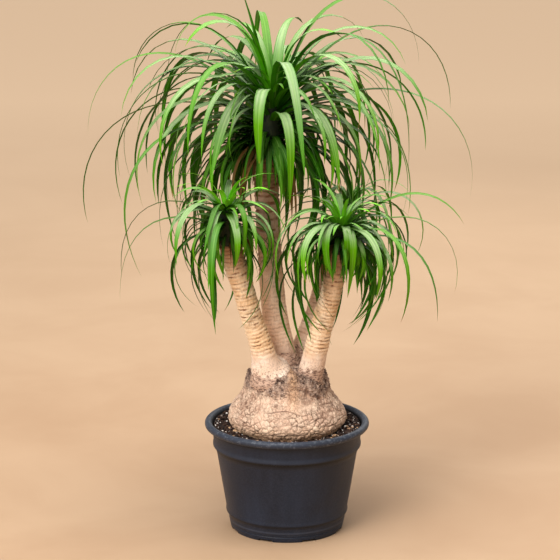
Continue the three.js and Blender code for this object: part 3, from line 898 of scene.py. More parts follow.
bark_flakes = join_all(flakes, "bark_flakes")
print("bark flakes:", len(flakes), "and", triangles_in(bark_flakes), "triangles")

# %% Flake finish
flaky_bark, tree, shader = new_material("flaky_bark", 0.92)
stain = patches(tree, 240.0, 0.4, 0.66, (1, 1, 0.4))
colour = layered(tree, mixed(tree, "tone", (84, 60, 50), (222, 190, 166)), [(stain, 0.4, (136, 106, 90))])
surface(tree, shader, colour, grain(tree, 1100.0, (1, 1, 0.3)), 0.8, 0.0006)
coat(bark_flakes, flaky_bark)
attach(bark_flakes, "root")

# %% [markdown]
# ## The trunks
# Four trunks rise from the base. Where old leaves fell, each left a scar right round, so the trunks look
# ringed. A tube along a Bezier curve gives each its lean and taper. The four are then joined and remeshed
# into one skin, which closes the fork between them as wood does, and gives points that are close enough
# together to carry the rings. Each trunk also says where its bud ends, how aged and ringed its bark is, and
# how high the torn bark of the collar reaches on it.

# %% Trunk curves
TRUNKS = {
    "left": {
        "route": [(-21, -22, 246), (-28, -27, 266), (-33, -30, 279), (-36.5, -32.5, 294), (-42.5, -35, 320),
                  (-55.5, -40, 360), (-69.5, -46, 412), (-84, -52, 461), (-91, -56, 492)],
        "radii": [37, 35.5, 27, 21, 18, 17, 17.5, 18, 18], "top": (-97, -78, 556),
        "aged": 0.0, "rings": 1.0, "torn_to": 268,
    },
    "centre": {
        "route": [(3, 9, 246), (-2, 9, 275), (-9.5, 10, 306), (-18, 11.5, 345), (-23, 13, 387),
                  (-28, 14, 463), (-33, 10, 565), (-34, 6, 621)],
        "radii": [30, 23, 21, 20.5, 20.5, 19, 20, 20.5], "top": (-22, 0, 712),
        "aged": 1.0, "rings": 0.5, "torn_to": 296,
    },
    "right": {
        "route": [(34.5, -20, 242), (37, -26, 262), (42, -30.5, 285), (49, -36, 321), (61.5, -44, 374),
                  (71.5, -50, 414), (82, -58, 480)],
        "radii": [28, 22, 20, 18.5, 17.5, 16.5, 16.5], "top": (86.5, -80, 526),
        "aged": 0.12, "rings": 1.0, "torn_to": 279,
    },
    "back": {
        "route": [(16, 26, 246), (26, 42, 296), (44, 56, 346), (60, 70, 396), (84, 88, 456), (96, 95, 486)],
        "radii": [22, 16, 14, 13.5, 13, 13], "top": (103, 99, 521),
        "aged": 0.85, "rings": 0.7, "torn_to": 300,
    },
}
SKIN_VOXEL = 1.75 * MM


def trunk_tube(name, trunk):
    """A tube along a Bezier curve through a trunk's route, as thick as the trunk at each point."""
    clear_selection()
    bpy.ops.curve.primitive_bezier_curve_add()
    curve = bpy.context.object
    spline = curve.data.splines[0]
    spline.bezier_points.add(len(trunk["route"]) - len(spline.bezier_points))
    for point, place, radius in zip(spline.bezier_points, trunk["route"], trunk["radii"]):
        point.co = Vector(place) * MM
        point.radius = radius
        point.handle_left_type = "AUTO"
        point.handle_right_type = "AUTO"
    curve.data.dimensions = "3D"
    curve.data.resolution_u = 14
    curve.data.bevel_depth = MM
    curve.data.bevel_resolution = 10
    curve.data.use_fill_caps = True
    bpy.ops.object.convert(target="MESH")
    tube = bpy.context.object
    tube.name = name
    return tube


tubes = [trunk_tube("trunk_" + name, trunk) for name, trunk in TRUNKS.items()]
trunks = join_all(tubes, "ringed_trunks")
apply_modifier(trunks, "REMESH", mode="VOXEL", voxel_size=SKIN_VOXEL)
apply_modifier(trunks, "SMOOTH", factor=0.5, iterations=4)
print("trunks:", triangles_in(trunks), "triangles")


# %% Where each point lies on its trunk
SMOOTHINGS = 12
OWN_RINGS = 137


def trunk_line(trunk, count=160):
    """Closely spaced points down the middle of a trunk with its radius there, as smooth as the curve."""
    route = np.array(trunk["route"], dtype=float)
    share = np.linspace(0, len(route) - 1, count)
    knots = np.arange(len(route))
    line = np.stack([np.interp(share, knots, axis) for axis in route.T], axis=1)
    for _ in range(SMOOTHINGS):
        line[1:-1] = (line[:-2] + 2 * line[1:-1] + line[2:]) / 4
    return line, np.interp(share, knots, trunk["radii"])


points = points_of(trunks)
best = np.full(len(points), 1e9)
bark = {fact: np.zeros(len(points)) for fact in ("along", "aged", "rings", "torn_to", "own_top")}
for index, (name, trunk) in enumerate(TRUNKS.items()):
    line, radii = trunk_line(trunk)
    walked = np.concatenate([[0], np.cumsum(np.linalg.norm(np.diff(line, axis=0), axis=1))])
    gaps = np.linalg.norm(points[:, None, :] - line[None, :, :], axis=2) - radii
    place = gaps.argmin(axis=1)
    gap = gaps[np.arange(len(points)), place]
    own_top = ease(70 + 190 * trunk["aged"], 0, walked[-1] - walked[place])
    here = {**trunk, "along": walked[place] + OWN_RINGS * index, "own_top": own_top}
    for fact in bark:
        bark[fact] = np.where(gap < best, here[fact], bark[fact])
    best = np.minimum(best, gap)
    print(name, "trunk is", round(walked[-1]), "mm long")
height = points[:, 2]
print("points on the trunks:", len(points))

# %% [markdown]
# A scar is a thin dark line with a rounded band of wood above it. Real scars are uneven: they wander, fade
# out part of the way round, and crowd together near the leaves. So the distance along the trunk is bent by
# smooth noise before it is cut into bands, and every band has a strength of its own.

# %% Ring scars
RING_PITCH = 6.5

bend = 2.6 * cloud(points * (1, 1, 0.5), 26.0, 5.0) + 1.0 * cloud(points, 9.0, 6.0)
bands = (bark["along"] + bend) / RING_PITCH
band = np.floor(bands).astype(int)
inside_band = bands - band
strength = np.array([0.45 + 0.75 * draw(number, 41) for number in band])
patchy = 0.55 + 0.6 * cloud(points * (1, 1, 0.6), 13.0, 7.0)
ringed = np.maximum(bark["rings"], 1.1 * ease(430, 520, height)) * ease(290, 322, height)
line_of_scar = np.exp(-(((inside_band - 0.5) / 0.12) ** 2))
swell = np.sin(math.pi * np.clip((inside_band + 0.5) % 1.0, 0, 1)) ** 0.7
scar = np.clip(ringed * strength * np.clip(patchy + 0.35, 0, 1.2) * line_of_scar, 0, 1)
rough_foot = bark["aged"] * ease(336, 268, height)
lift = ringed * (1.6 * swell * strength - 0.7) - 1.0 * scar + 0.35 * cloud(points, 3.0, 9.0)
lift += (rough_foot * (2.2 * np.abs(cloud(points * (1, 1, 0.5), 5.0, 12.0)) - 0.8)
         + 0.9 * cloud(points, 22.0, 14.0))
set_points(trunks, points + normals_of(trunks) * lift[:, None])
mark(
    trunks,
    scar=scar,
    aged=bark["aged"],
    rough_foot=rough_foot,
    torn=1 - ease(-2, 1.5, height - bark["torn_to"] + 8 * cloud(points, 6.0, 16.0)),
    own_top=bark["own_top"],
    ringed=ringed,
)
smooth(trunks)
print("bands of wood:", len(set(band.tolist())))

# %% [markdown]
# Young bark is pale between its brown scars, and old bark is duller. The wood is browner where it nears the
# leaves, scurfy just above the collar, and torn into strands where the collar climbs it.

# %% Trunk finish
ring_bark, tree, shader = new_material("ringed_bark", 0.8)
stain = patches(tree, 32.0, 0.38, 0.66)
flecks = patches(tree, 420.0, 0.5, 0.68, (1, 1, 0.35))
strands = patches(tree, 190.0, 0.47, 0.57, (1, 1, 2.6))
scurf = product(tree, spread(tree, place_along(tree, "Z"), 0.304, 0.27), patches(tree, 330.0, 0.5, 0.62))
colour = layered(tree, mixed(tree, stain, (250, 228, 208), (236, 204, 178)), [
    ("ringed", 1.0, mixed(tree, stain, (252, 222, 184), (240, 198, 152))),
    ("aged", 1.0, mixed(tree, stain, (252, 222, 196), (228, 190, 160))),
    (flecks, 0.3, (160, 120, 96)),
    (specks(tree, 430.0, 0.3), 0.3, (128, 90, 68)),
    ("own_top", 0.75, (160, 108, 72)),
    (scurf, 0.85, (136, 98, 78)),
    ("rough_foot", 0.8, mixed(tree, flecks, (140, 106, 88), (78, 54, 44))),
    ("scar", 0.9, (132, 80, 48)),
    ("torn", 1.0, mixed(tree, product(tree, strands, 0.8), (198, 164, 142), (92, 66, 54))),
])
surface(tree, shader, colour, grain(tree, 900.0), 0.5, 0.0006)
coat(trunks, ring_bark)
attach(trunks, "root")
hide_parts("trunk")

# %% [markdown]
# ## The leaves
# A ponytail palm's leaf is a strap, folded into a shallow channel, that rises from the head, arches over
# and hangs to a long thin point. One straight blade is modelled by extruding a four-cornered section along
# its length. Hair, or one curve per leaf, would be lighter, but a solid blade keeps its channel and exports
# as it looks.

# %% One straight blade
SHORT_BLADE_STEPS = 14
LONG_BLADE_STEPS = 22


def blade_pattern(name, steps):
    """A four-sided bar, one unit long and two wide, pushed down into a channel."""
    clear_selection()
    bpy.ops.mesh.primitive_circle_add(vertices=4, radius=1, fill_type="NGON", rotation=(0, math.pi / 2, 0))
    blade = bpy.context.object
    blade.name = name
    bpy.ops.object.transform_apply(location=True, rotation=True, scale=True)
    bpy.ops.object.mode_set(mode="EDIT")
    bpy.ops.mesh.select_all(action="SELECT")
    for _ in range(steps):
        move = {"value": (1 / steps, 0, 0)}
        bpy.ops.mesh.extrude_region_move(TRANSFORM_OT_translate=move)
    bpy.ops.mesh.merge(type="CENTER")
    bpy.ops.mesh.select_all(action="SELECT")
    bpy.ops.mesh.normals_make_consistent(inside=False)
    bpy.ops.object.mode_set(mode="OBJECT")
    for vertex in blade.data.vertices:
        if vertex.co.x < 0.999:
            vertex.co.z = -0.2 if vertex.co.z > 0.5 else (-0.29 if vertex.co.z < -0.5 else 0.0)
    return blade


short_blade = blade_pattern("short_blade", SHORT_BLADE_STEPS)
long_blade = blade_pattern("long_blade", LONG_BLADE_STEPS)
print("faces in a blade:", len(short_blade.data.polygons), "or", len(long_blade.data.polygons))

# %% [markdown]
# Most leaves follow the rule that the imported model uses: the youngest stand upright at the tip of the head,
# and older ones start lower, lean out and droop. A leaf keeps its slope near the root and bends hardest at
# one share of its length. The golden angle between neighbours spreads them evenly round the head. The long
# leaves that give a head its outline are placed one by one, each by its heading, rise, fall, length, bend,
# height on the core and breadth. Short leaves low on the head fill its shaded middle, and a few dead ones
# hang under it.

# %% Heads and long leaves
LOW_HEAD = {"oldest": 1.35, "grown": (0.02, 0.34), "lift": 80, "fall": 135, "soft": (0, 0.4), "front": 0.9,
            "sway": 90, "dead": 12}
HIGH_HEAD = {"grown": (0, 0.25), "fall": 108, "soft": (-0.1, 0.3), "sway": 60}
HEADS = {
    "left": {**LOW_HEAD, "seed": 11, "count": 84, "skirt": (36, 75), "length": 150, "width": 12.5,
             "youngest": 88, "droop": -30, "lean": 24, "young": 1.0},
    "right": {**LOW_HEAD, "seed": 23, "count": 96, "skirt": (40, 85), "length": 165, "width": 13,
              "youngest": 92, "droop": -28, "lean": 20, "young": 0.5},
    "back": {**HIGH_HEAD, "seed": 37, "count": 44, "skirt": (20, 80), "length": 185, "width": 10,
             "youngest": 60, "oldest": 0.85, "lift": 74, "droop": -10, "front": 0.0, "lean": -12,
             "young": 0.4, "dead": 12},
    "centre": {**HIGH_HEAD, "seed": 5, "count": 215, "skirt": (80, 105), "length": 345, "width": 17,
               "youngest": 120, "oldest": 0.66, "lift": 84, "droop": -12, "front": 1.15, "lean": 8,
               "young": 0.1, "dead": 26},
}
LONG_LEAVES = {
    "left": [
        (190, 24, 96, 250, 0.6, 0.75, 0.8), (170, 10, 92, 270, 0.55, 0.5, 0.8),
        (-100, 12, 112, 260, 0.42, 0.6, 0.8), (-122, 18, 104, 195, 0.74, 1, 1.15),
        (-110, 70, 64, 135, 0.3, 0.7, 0.8), (-108, 36, 84, 170, 0.26, 0.75, 1.0),
        (-74, -6, 134, 130, 0.62, 0.85, 1.1), (-62, 28, 118, 125, 0.48, 0.95, 0.9),
        (-54, 32, 96, 115, 0.56, 0.6, 1.0), (-112, 32, 120, 130, 0.28, 0.5, 0.9),
    ],
    "right": [
        (4, 36, 62, 225, 0.8, 0.9, 0.8), (-10, 20, 104, 270, 0.7, 0.8, 0.8),
        (-28, 10, 92, 250, 0.6, 0.55, 0.8), (-50, 22, 118, 270, 0.6, 0.6, 0.8),
        (-132, 14, 110, 155, 0.56, 0.95, 1.1), (-114, 36, 128, 155, 0.38, 0.85, 1.2),
        (-78, 60, 138, 155, 0.3, 0.55, 1.1), (-58, 6, 116, 185, 0.6, 0.95, 1.15),
        (-70, 36, 112, 155, 0.26, 0.7, 1.0), (-188, 40, 60, 125, 0.5, 1, 0.8),
        (-148, 42, 100, 165, 0.35, 0.3, 1.0), (-44, 12, 112, 180, 0.6, 0.55, 1.0),
    ],
    "back": [],
    "centre": [
        (186, 10, 105, 430, 0.8, 0.8, 0.8), (172, 36, 92, 400, 0.8, 0.85, 0.8),
        (204, 6, 116, 430, 0.62, 0.6, 0.8), (166, 58, 90, 345, 0.8, 0.95, 0.85),
        (154, 74, 90, 345, 0.62, 1, 0.85), (200, 80, 88, 290, 0.85, 1, 0.85),
        (215, 76, -66, 195, 1, 1, 0.85), (-8, 18, 102, 435, 0.85, 0.8, 0.8),
        (10, 50, 92, 420, 0.75, 0.9, 0.8), (-20, 66, 94, 440, 0.46, 0.95, 0.85),
        (16, 69, 90, 400, 0.75, 1, 0.85), (-32, 62, 90, 330, 0.7, 1, 0.9),
        (58, 30, 96, 400, 0.8, 0.85, 0.85), (84, 14, 104, 410, 0.8, 0.75, 0.85),
        (98, 58, 90, 370, 0.75, 0.95, 0.85), (118, 24, 98, 400, 0.8, 0.8, 0.85),
        (-122, 44, 96, 350, 0.7, 0.9, 0.85), (-126, 46, 74, 235, 0.4, 0.7, 1.25),
        (-106, 72, 104, 200, 0.34, 0.8, 1.2), (-84, 84, 126, 200, 0.28, 1, 1.15),
        (-76, 70, 76, 315, 0.34, 1, 1.2), (-70, 40, 100, 220, 0.32, 0.6, 1.2),
        (-44, 38, 88, 240, 0.44, 0.6, 1.2), (-128, 30, 90, 255, 0.64, 1, 1.0),
        (-174, 52, 108, 245, 0.6, 0.3, 1.0), (-46, 52, 100, 290, 0.7, 1, 1.05),
        (4, 24, 120, 295, 0.58, 0.7, 1.0), (-140, 80, -50, 150, 0.9, 0.9, 1.1),
        (-150, 76, 60, 250, 0.9, 1, 1.1), (178, 62, 70, 300, 0.85, 0.95, 1.0),
        (160, 50, 84, 330, 0.8, 0.85, 1.0), (-168, 46, 84, 320, 0.8, 0.8, 1.0),
        (-2, 62, 70, 290, 0.85, 0.95, 1.0), (30, 50, 84, 330, 0.8, 0.85, 1.0),
        (-14, 44, 84, 330, 0.8, 0.8, 1.0), (24, 77, 66, 250, 0.9, 1, 1.1), (-20, 80, 40, 190, 1, 1, 1.1),
        (70, 80, 40, 200, 1, 1, 1.1), (130, 80, 40, 190, 1, 1, 1.1),
    ],
}
print("leaves placed one by one:", sum(len(rows) for rows in LONG_LEAVES.values()))

# %% [markdown]
# A rule turns the facts of a head and a leaf's number into that leaf's own angles and sizes. In front, the
# heads of the real plant are thinner, so leaves there are shortened, and left out where most of them would
# be lost.

# %% Rules for the leaves
GOLDEN_ANGLE = 137.508
MOST_THINNED = 0.5
PLAIN_LEAF = {"stiffness": 1.9, "dry": 0.0, "deep": 0.0}


def tipped(heading, rise, lean):
    """A leaf's heading and rise, once its head has tipped to the front by some degrees."""
    turn, slope = math.radians(heading), math.radians(rise)
    flat = math.cos(slope)
    first = Vector((flat * math.cos(turn), flat * math.sin(turn), math.sin(slope)))
    first.rotate(Matrix.Rotation(math.radians(lean), 3, "X"))
    return math.degrees(math.atan2(first.y, first.x)), math.degrees(math.asin(first.z))


def leaf_rule(head, index):
    """One leaf, by its age from 0 to 1, or nothing where the front of the head is thinned out."""
    age = (index + 0.5) / head["count"]
    pick = [luck - 0.5 for luck in draws(index + head["seed"] * 100, range(9))]
    grown = float(ease(*head["grown"], age))
    tired = 1 + (head["oldest"] - 1) * float(ease(0.4, 1, age))
    length = (head["youngest"] + (head["length"] - head["youngest"]) * grown) * tired
    breadth = head["width"] * (0.62 + 0.26 * float(ease(0, 0.3, age))) * (1 + 0.4 * pick[8])
    turn = index * GOLDEN_ANGLE + 24 * pick[1]
    facing = max(0.0, -math.sin(math.radians(turn)))
    thinned = head["front"] * facing ** 1.5 * (0.5 + 0.5 * age)
    slope = head["lift"] + (head["droop"] - head["lift"]) * age ** 0.85 + 16 * pick[2]
    heading, rise = tipped(turn, slope, head["lean"])
    if thinned > MOST_THINNED:
        return None
    return {
        **PLAIN_LEAF,
        "heading": heading,
        "rise": rise,
        "fall": head["fall"] * float(ease(*head["soft"], age)) + 26 * pick[3],
        "length": length * (1 + 0.34 * pick[4]) * (1 - thinned),
        "bend": 0.85 - 0.3 * age + 0.3 * pick[5],
        "height": 1 - 0.92 * age,
        "width": breadth * (1 - 0.5 * thinned),
        "sway": head["sway"] * pick[6],
        "twist": 60 * pick[7],
        "age": age,
    }


def long_leaf_rule(head, row, index):
    """The same facts for one of the long leaves that give the head its outline."""
    heading, rise, fall, length, bend, height, broad = row
    return {
        **PLAIN_LEAF, "heading": heading, "rise": rise, "fall": fall, "length": length, "bend": bend,
        "height": height, "stiffness": 3, "width": head["width"] * broad, "sway": 14 * (draw(index, 8) - 0.5),
        "twist": 60 * (draw(index, 9) - 0.5), "age": 0.6 if broad < 1 else 0.35,
    }


def skirt_leaf_rule(head, index):
    """A short leaf low on a head, always in its shade, which fills the dark middle round the core."""
    pick = draws(index + head["seed"] * 100, range(70, 77))
    return {
        **PLAIN_LEAF, "heading": GOLDEN_ANGLE * index + 40 * pick[0], "rise": -30 + 60 * pick[1],
        "fall": 75 + 30 * pick[2], "length": head["skirt"][1] * (0.6 + 0.7 * pick[3]),
        "bend": 0.3 + 0.4 * pick[4], "height": 0.05 + 0.65 * pick[5],
        "width": head["width"] * (0.4 + 0.35 * pick[6]), "sway": 80 * (pick[3] - 0.5),
        "twist": 200 * (pick[2] - 0.5), "age": 0.95, "deep": 1.0,
    }


def dry_leaf_rule(head, index):
    """A thin dead leaf that hangs against the trunk under its head."""
    pick = draws(index + head["seed"] * 100, range(60, 66))
    return {
        **PLAIN_LEAF, "heading": 360 * pick[0], "rise": -30 + 50 * pick[1], "fall": 80 + 24 * pick[2],
        "length": head["length"] * (0.22 + 0.3 * pick[3]), "bend": 0.25 + 0.3 * pick[4],
        "height": 0.02 + 0.3 * pick[5], "width": head["width"] * 0.4, "sway": 80 * (pick[1] - 0.5),
        "twist": 300 * (pick[2] - 0.5), "age": 0.9, "dry": 1.0,
    }


for name, head in HEADS.items():
    kept = [leaf_rule(head, index) is not None for index in range(head["count"])]
    print(name, "head keeps", sum(kept), "of", len(kept), "leaves by rule")


# %% Bending a blade along its leaf
def leaf_axes(rule, share):
    """The direction along, across and out of the face of a leaf at shares of its length."""
    middle = min(max(rule["bend"], 0.12), 1) ** rule["stiffness"]
    gone = share ** rule["stiffness"]
    slope = np.radians(rule["rise"] - (rule["rise"] + rule["fall"]) * (1 + middle) * gone / (gone + middle))
    heading = np.radians(rule["heading"] + rule["sway"] * share ** 2)
    cosine, sine = np.cos(heading), np.sin(heading)
    flat = np.stack([-sine, cosine, np.zeros_like(heading)], axis=1)
    along = np.stack([cosine * np.cos(slope), sine * np.cos(slope), np.sin(slope)], axis=1)
    turn = np.radians(rule["twist"] * share)[:, None]
    across = flat * np.cos(turn) + np.cross(along, flat) * np.sin(turn)
    return along, across, np.cross(along, across)


def leaf_line(rule, line, steps):
    """Points down the middle of a leaf, from the core of its head."""
    foot, top, radius = line
    share = (np.arange(steps) + 0.5) / steps
    along, _, _ = leaf_axes(rule, share)
    heading = math.radians(rule["heading"])
    reach = radius * (0.55 - 0.25 * rule["height"])
    start = foot + (top - foot) * rule["height"] + reach * np.array([math.cos(heading), math.sin(heading), 0])
    return np.vstack([start, start + np.cumsum(along, axis=0) * rule["length"] / steps])


def bend_blade(pattern, steps, rule, middle, tone, yellow):
    """A copy of the straight blade, laid along a leaf's line and marked for its finish."""
    twin = copy_of(pattern)
    straight = points_of(pattern) * MM
    along, aside, above = np.clip(straight[:, 0], 0, 1), straight[:, 1:2], straight[:, 2:3]
    station = np.rint(along * steps).astype(int)
    _, across, face = leaf_axes(rule, np.arange(steps + 1) / steps)
    width = rule["width"] * (0.62 + 0.38 * ease(0, 0.2, along)) * np.clip(1 - along ** 2.5, 0, 1) ** 0.85
    # Painted shade: older leaves, which sit lower and deeper in the head, and the roots of all but the
    # youngest are painted darker, and the short leaves deep in the head darker still.
    old_leaf_shade = 0.8 * ease(0.3, 0.9, rule["age"]) * (1 - 0.5 * along)
    shade = np.clip(old_leaf_shade + 0.9 * (1 - ease(0, 0.3, along)), 0, 1) * float(ease(0.08, 0.3, rule["age"]))
    shade = np.maximum(shade, rule["deep"] * (0.95 - 0.35 * along))
    upper = np.where(straight[:, 2] > -0.1, 0.5, np.where(straight[:, 2] > -0.25, 1.0, 0.0))
    # How strong the painted sheen is at each point: most where the face turns up to the lights, less on older
    # leaves.
    upward = ease(-0.15, 0.75, face[station][:, 2]) * (1 - 0.75 * float(ease(0.3, 0.7, rule["age"])))
    half = (width / 2)[:, None]
    fold = (1.25 - 0.75 * along)[:, None]
    placed = middle[station] + across[station] * aside * half
    placed = placed + face[station] * above * half * fold
    set_points(twin, placed)
    mark(twin, tone=tone, yellow=yellow, share=along, side=0.5 + 0.5 * straight[:, 1], shade=shade,
         upward=upward, upper=upper, dry=rule["dry"])
    return twin


# %% [markdown]
# A leaf that would run into wood is turned and raised a little, a few times at most, and left out if it
# still does. Long leaves get a blade with more steps, so that their arch stays round.


# %% Growing the heads
MOST_TRIES = 4
LONG_FROM = 330


def core_line(trunk):
    """The foot, top and radius of the core that a head's leaves grow from."""
    end, before = np.array(trunk["route"][-1], float), np.array(trunk["route"][-2], float)
    foot = end + 0.35 * (end - before) / np.linalg.norm(end - before)
    return foot, np.array(trunk["top"], float), trunk["radii"][-1]


wood_lines = {name: trunk_line(trunk, 60) for name, trunk in TRUNKS.items()}


def hits_wood(middle, own):
    """Whether a leaf's line runs into another trunk, its own trunk below the head, or the base."""
    outer = middle[3:]
    for name, (line, radii) in wood_lines.items():
        gaps = np.linalg.norm(outer[:, None, :] - line[None, :, :], axis=2) - radii
        if gaps.min() < (1.0 if name == own else 3.0):
            return True
    low = outer[:, 2] < 268
    return bool(np.any(low & (np.hypot(outer[:, 0], outer[:, 1]) < 99)))


def clear_line(rule, line, steps, name):
    """The middle line of a leaf that keeps clear of the wood, or nothing if it can't."""
    middle = leaf_line(rule, line, steps)
    tries = 0
    while hits_wood(middle, name) and tries < MOST_TRIES:
        rule["heading"] += 14 if tries % 2 == 0 else -31
        rule["rise"] += 6
        middle = leaf_line(rule, line, steps)
        tries += 1
    return middle if tries < MOST_TRIES else None


def grow_head(name):
    """All blades of one head, joined into one piece."""
    head, line = HEADS[name], core_line(TRUNKS[name])
    rules = [long_leaf_rule(head, row, index) for index, row in enumerate(LONG_LEAVES[name])]
    rules += [rule for rule in (leaf_rule(head, index) for index in range(head["count"])) if rule]
    rules += [skirt_leaf_rule(head, index) for index in range(head["skirt"][0])]
    rules += [dry_leaf_rule(head, index) for index in range(head["dead"])]
    blades = []
    for index, rule in enumerate(rules):
        is_long = rule["length"] > LONG_FROM
        pattern, steps = (long_blade, LONG_BLADE_STEPS) if is_long else (short_blade, SHORT_BLADE_STEPS)
        middle = clear_line(rule, line, steps, name)
        if middle is not None:
            yellow = head["young"] * float(ease(0.26, 0.02, rule["age"]))
            blades.append(bend_blade(pattern, steps, rule, middle, draw(index + head["seed"], 51), yellow))
    piece = join_all(blades, "leaves_" + name)
    print(piece.name, "has", len(blades), "leaves and", triangles_in(piece), "triangles")
    return piece


leaf_heads = {name: grow_head(name) for name in TRUNKS}
discard(short_blade)
discard(long_blade)

# %% [markdown]
# A leaf is a deep green with fine parallel veins. Where it arches over, its upper face gets a painted
# sheen, a pale, silvery painted reflection of the lights, and a painted highlight runs down its midrib. Its
# underside is darker, and painted shade darkens the roots, the older leaves and the short leaves deep in
# the head. Young leaves are yellower, and some tips are dry and brown. Its place along and across the blade
# and a tone of its own were stored on each copy, and the finish reads them, so the veins follow every bend.

# %% Leaf finish
leaf_green, tree, shader = new_material("strap_leaf", 0.42)
shader.inputs["Specular IOR Level"].default_value = 0.1
share, side, tone = marked(tree, "share"), marked(tree, "side"), marked(tree, "tone")
patch = patches(tree, 30.0, 0.35, 0.68)
blade_place = {"X": product(tree, side, 5.0), "Y": product(tree, share, 1.6), "Z": product(tree, tone, 37.0)}
blade_place = add_node(tree, "ShaderNodeCombineXYZ", blade_place).outputs["Vector"]
streaks = use_group(tree, PATCHES, blade_place, "Mask", Scale=1.0, Low=0.38, High=0.62)
veins = reckon(tree, "SINE", product(tree, side, 62.0))
# A painted highlight down the midrib, where the channel catches the light.
painted_midrib_highlight = spread(tree, reckon(tree, "ABSOLUTE", reckon(tree, "SUBTRACT", side, 0.5)), 0.1, 0.0)
upper_face = spread(tree, "upper", 0.48, 0.62)
arch = between(tree, share, (0.08, 0.28), (0.96, 0.6))
# Painted sheen: a pale, silvery painted reflection of the lights on the upper faces of the arches.
painted_sheen = product(tree, arch, upper_face, spread(tree, "upward", 0.1, 0.9, 0.0, 0.85))
dry_tip = product(tree, spread(tree, share, 0.93, 0.985), spread(tree, tone, 0.55, 0.75))
colour = layered(tree, mixed(tree, tone, (34, 94, 0), (72, 148, 2)), [
    (upper_face, 1.0, mixed(tree, tone, (64, 130, 4), (106, 168, 20))),
    (patch, 0.25, (98, 162, 18)),
    (spread(tree, share, 0.2, 0.0), 0.3, (106, 164, 16)),
    (painted_sheen, 1.0, (156, 173, 132)),
    ("yellow", 0.9, (146, 236, 52)),
    (streaks, 0.4, (48, 104, 2)),
    ("shade", 0.85, (12, 52, 0)),
    (painted_midrib_highlight, 0.2, (170, 214, 110)),
    (spread(tree, veins, 0.2, 1.0), 0.14, (34, 84, 2)),
    (dry_tip, 1.0, (150, 112, 62)),
    ("dry", 1.0, (98, 72, 40)),
])
tree.links.new(spread(tree, patch, 0, 1, 0.38, 0.5), shader.inputs["Roughness"])
surface(tree, shader, colour, veins, 0.12, 0.0004)
for name, piece in leaf_heads.items():
    coat(piece, leaf_green)
    smooth_by_angle(piece, 70)
    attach(piece, "root")
    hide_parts("crown_" + name)

# %% [markdown]
# ## The cores of the heads
# Under the leaves, each trunk ends in a bud wrapped in old, dark green leaf bases, painted darker still as
# painted shade in the middle of the head. It is mostly hidden, but it has to be there, or the leaves would
# spring from nothing. It is a spun spindle, set on the end of its trunk and roughened.


# %% Bud cores
def bud_core(name, trunk):
    """A spindle from the end of a trunk to the tip of its head."""
    foot, top, radius = core_line(trunk)
    axis = Vector(top - foot)
    long = axis.length
    outline = [(0, -1.5), (radius * 0.9, -1.5), (radius * 1.12, long * 0.12), (radius * 1.05, long * 0.35),
               (radius * 0.86, long * 0.6), (radius * 0.6, long * 0.82), (radius * 0.3, long), (0, long + 3)]
    core = spin_outline("bud_" + name, outline, 40)
    apply_modifier(core, "SUBSURF", levels=1, render_levels=1)
    turn = axis.to_track_quat("Z", "Y").to_matrix().to_4x4()
    core.data.transform(Matrix.Translation(Vector(foot) * MM) @ turn)
    points = points_of(core)
    bases = 1.3 * np.abs(cloud(points * (1, 1, 0.4), 6.0, 3.0))
    set_points(core, points + normals_of(core) * bases[:, None])
    smooth(core)
    return core


sheath, tree, shader = new_material("old_leaf_bases", 0.75)
# Near black: the leaf bases' own dark green deepened by painted shade.
colour = mixed(tree, patches(tree, 160.0, 0.4, 0.64, (1, 1, 0.2)), (14, 30, 6), (44, 52, 20))
surface(tree, shader, colour, grain(tree, 700.0, (1, 1, 0.2)), 0.6, 0.0006)
for name, trunk in TRUNKS.items():
    core = bud_core(name, trunk)
    coat(core, sheath)
    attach(core, "root")

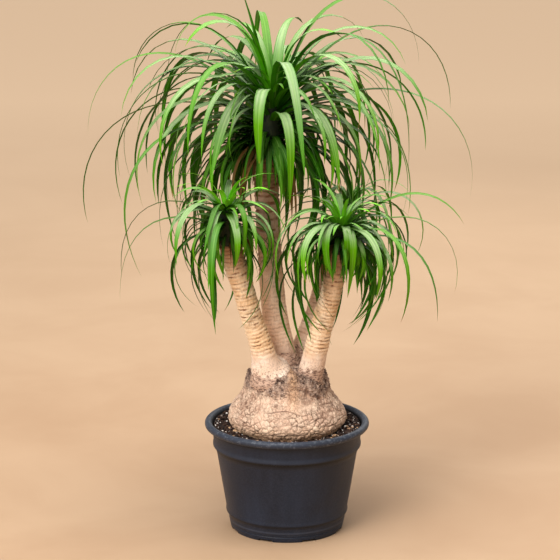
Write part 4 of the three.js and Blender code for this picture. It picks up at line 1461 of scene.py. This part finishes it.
# %% [markdown]
# ## Floor and light
# The plant stands on a warm pale floor, painted lighter with distance as painted light that evens out the
# lamps' falloff. A large softbox in front and to the left adds real gloss over the leaves' painted sheen, a
# wide one overhead lights the tops of the arches, and a weak one behind keeps the shaded side from going
# black. A soft sun and a dim sky fill the rest.

# %% Floor
clear_selection()
bpy.ops.mesh.primitive_plane_add(size=40)
floor = bpy.context.object
floor.name = "floor"
floor_paint, tree, shader = new_material("pale_floor", 0.75)
patch = patches(tree, 2.4, 0.3, 0.7)
# Painted light: the floor is painted lighter with distance, to make up for the lamps' light falling off.
painted_light_far = spread(tree, place_along(tree, "Y"), 0.5, 4.5)
near_colour = mixed(tree, patch, (166, 134, 104), (176, 145, 115))
tree.links.new(mixed(tree, painted_light_far, near_colour, (224, 192, 158)), shader.inputs["Base Color"])
floor.data.materials.append(floor_paint)

# %% Softboxes
SOFTBOX_SIZE = 1.4
SOFTBOXES = [
    ("front_left", (-1.5, -2.3, 2.1), 62, (0.98, 0.99, 1.0)),
    ("overhead", (0.1, -0.2, 2.4), 48, (1.0, 0.99, 0.98)),
    ("behind", (0.9, 2.3, 1.7), 12, (1.0, 0.98, 0.95)),
]
PLANT_MIDDLE = Vector((0, 0, 0.45))


def add_lamp(kind, name, place, energy, tint, towards):
    """A lamp of a kind, aimed along a direction."""
    bpy.ops.object.light_add(type=kind, location=place)
    lamp = bpy.context.object
    lamp.name = name
    lamp.data.energy = energy
    lamp.data.color = tint
    lamp.rotation_euler = towards.to_track_quat("-Z", "Y").to_euler()
    return lamp


for name, place, watts, tint in SOFTBOXES:
    softbox = add_lamp("AREA", "softbox_" + name, place, watts, tint, PLANT_MIDDLE - Vector(place))
    softbox.data.size = SOFTBOX_SIZE
sun = add_lamp("SUN", "soft_daylight", (-1, -2, 3), 1.42, (1.0, 0.97, 0.92), Vector((0.42, 0.62, -1.0)))
sun.data.angle = math.radians(40)

world = bpy.data.worlds.new("soft_room")
world.use_nodes = True
background = world.node_tree.nodes["Background"]
background.inputs["Color"].default_value = (1.0, 0.96, 0.92, 1)
background.inputs["Strength"].default_value = 0.58
bpy.context.scene.world = world
bpy.context.scene.view_settings.view_transform = "Standard"
print("softboxes:", len(SOFTBOXES))
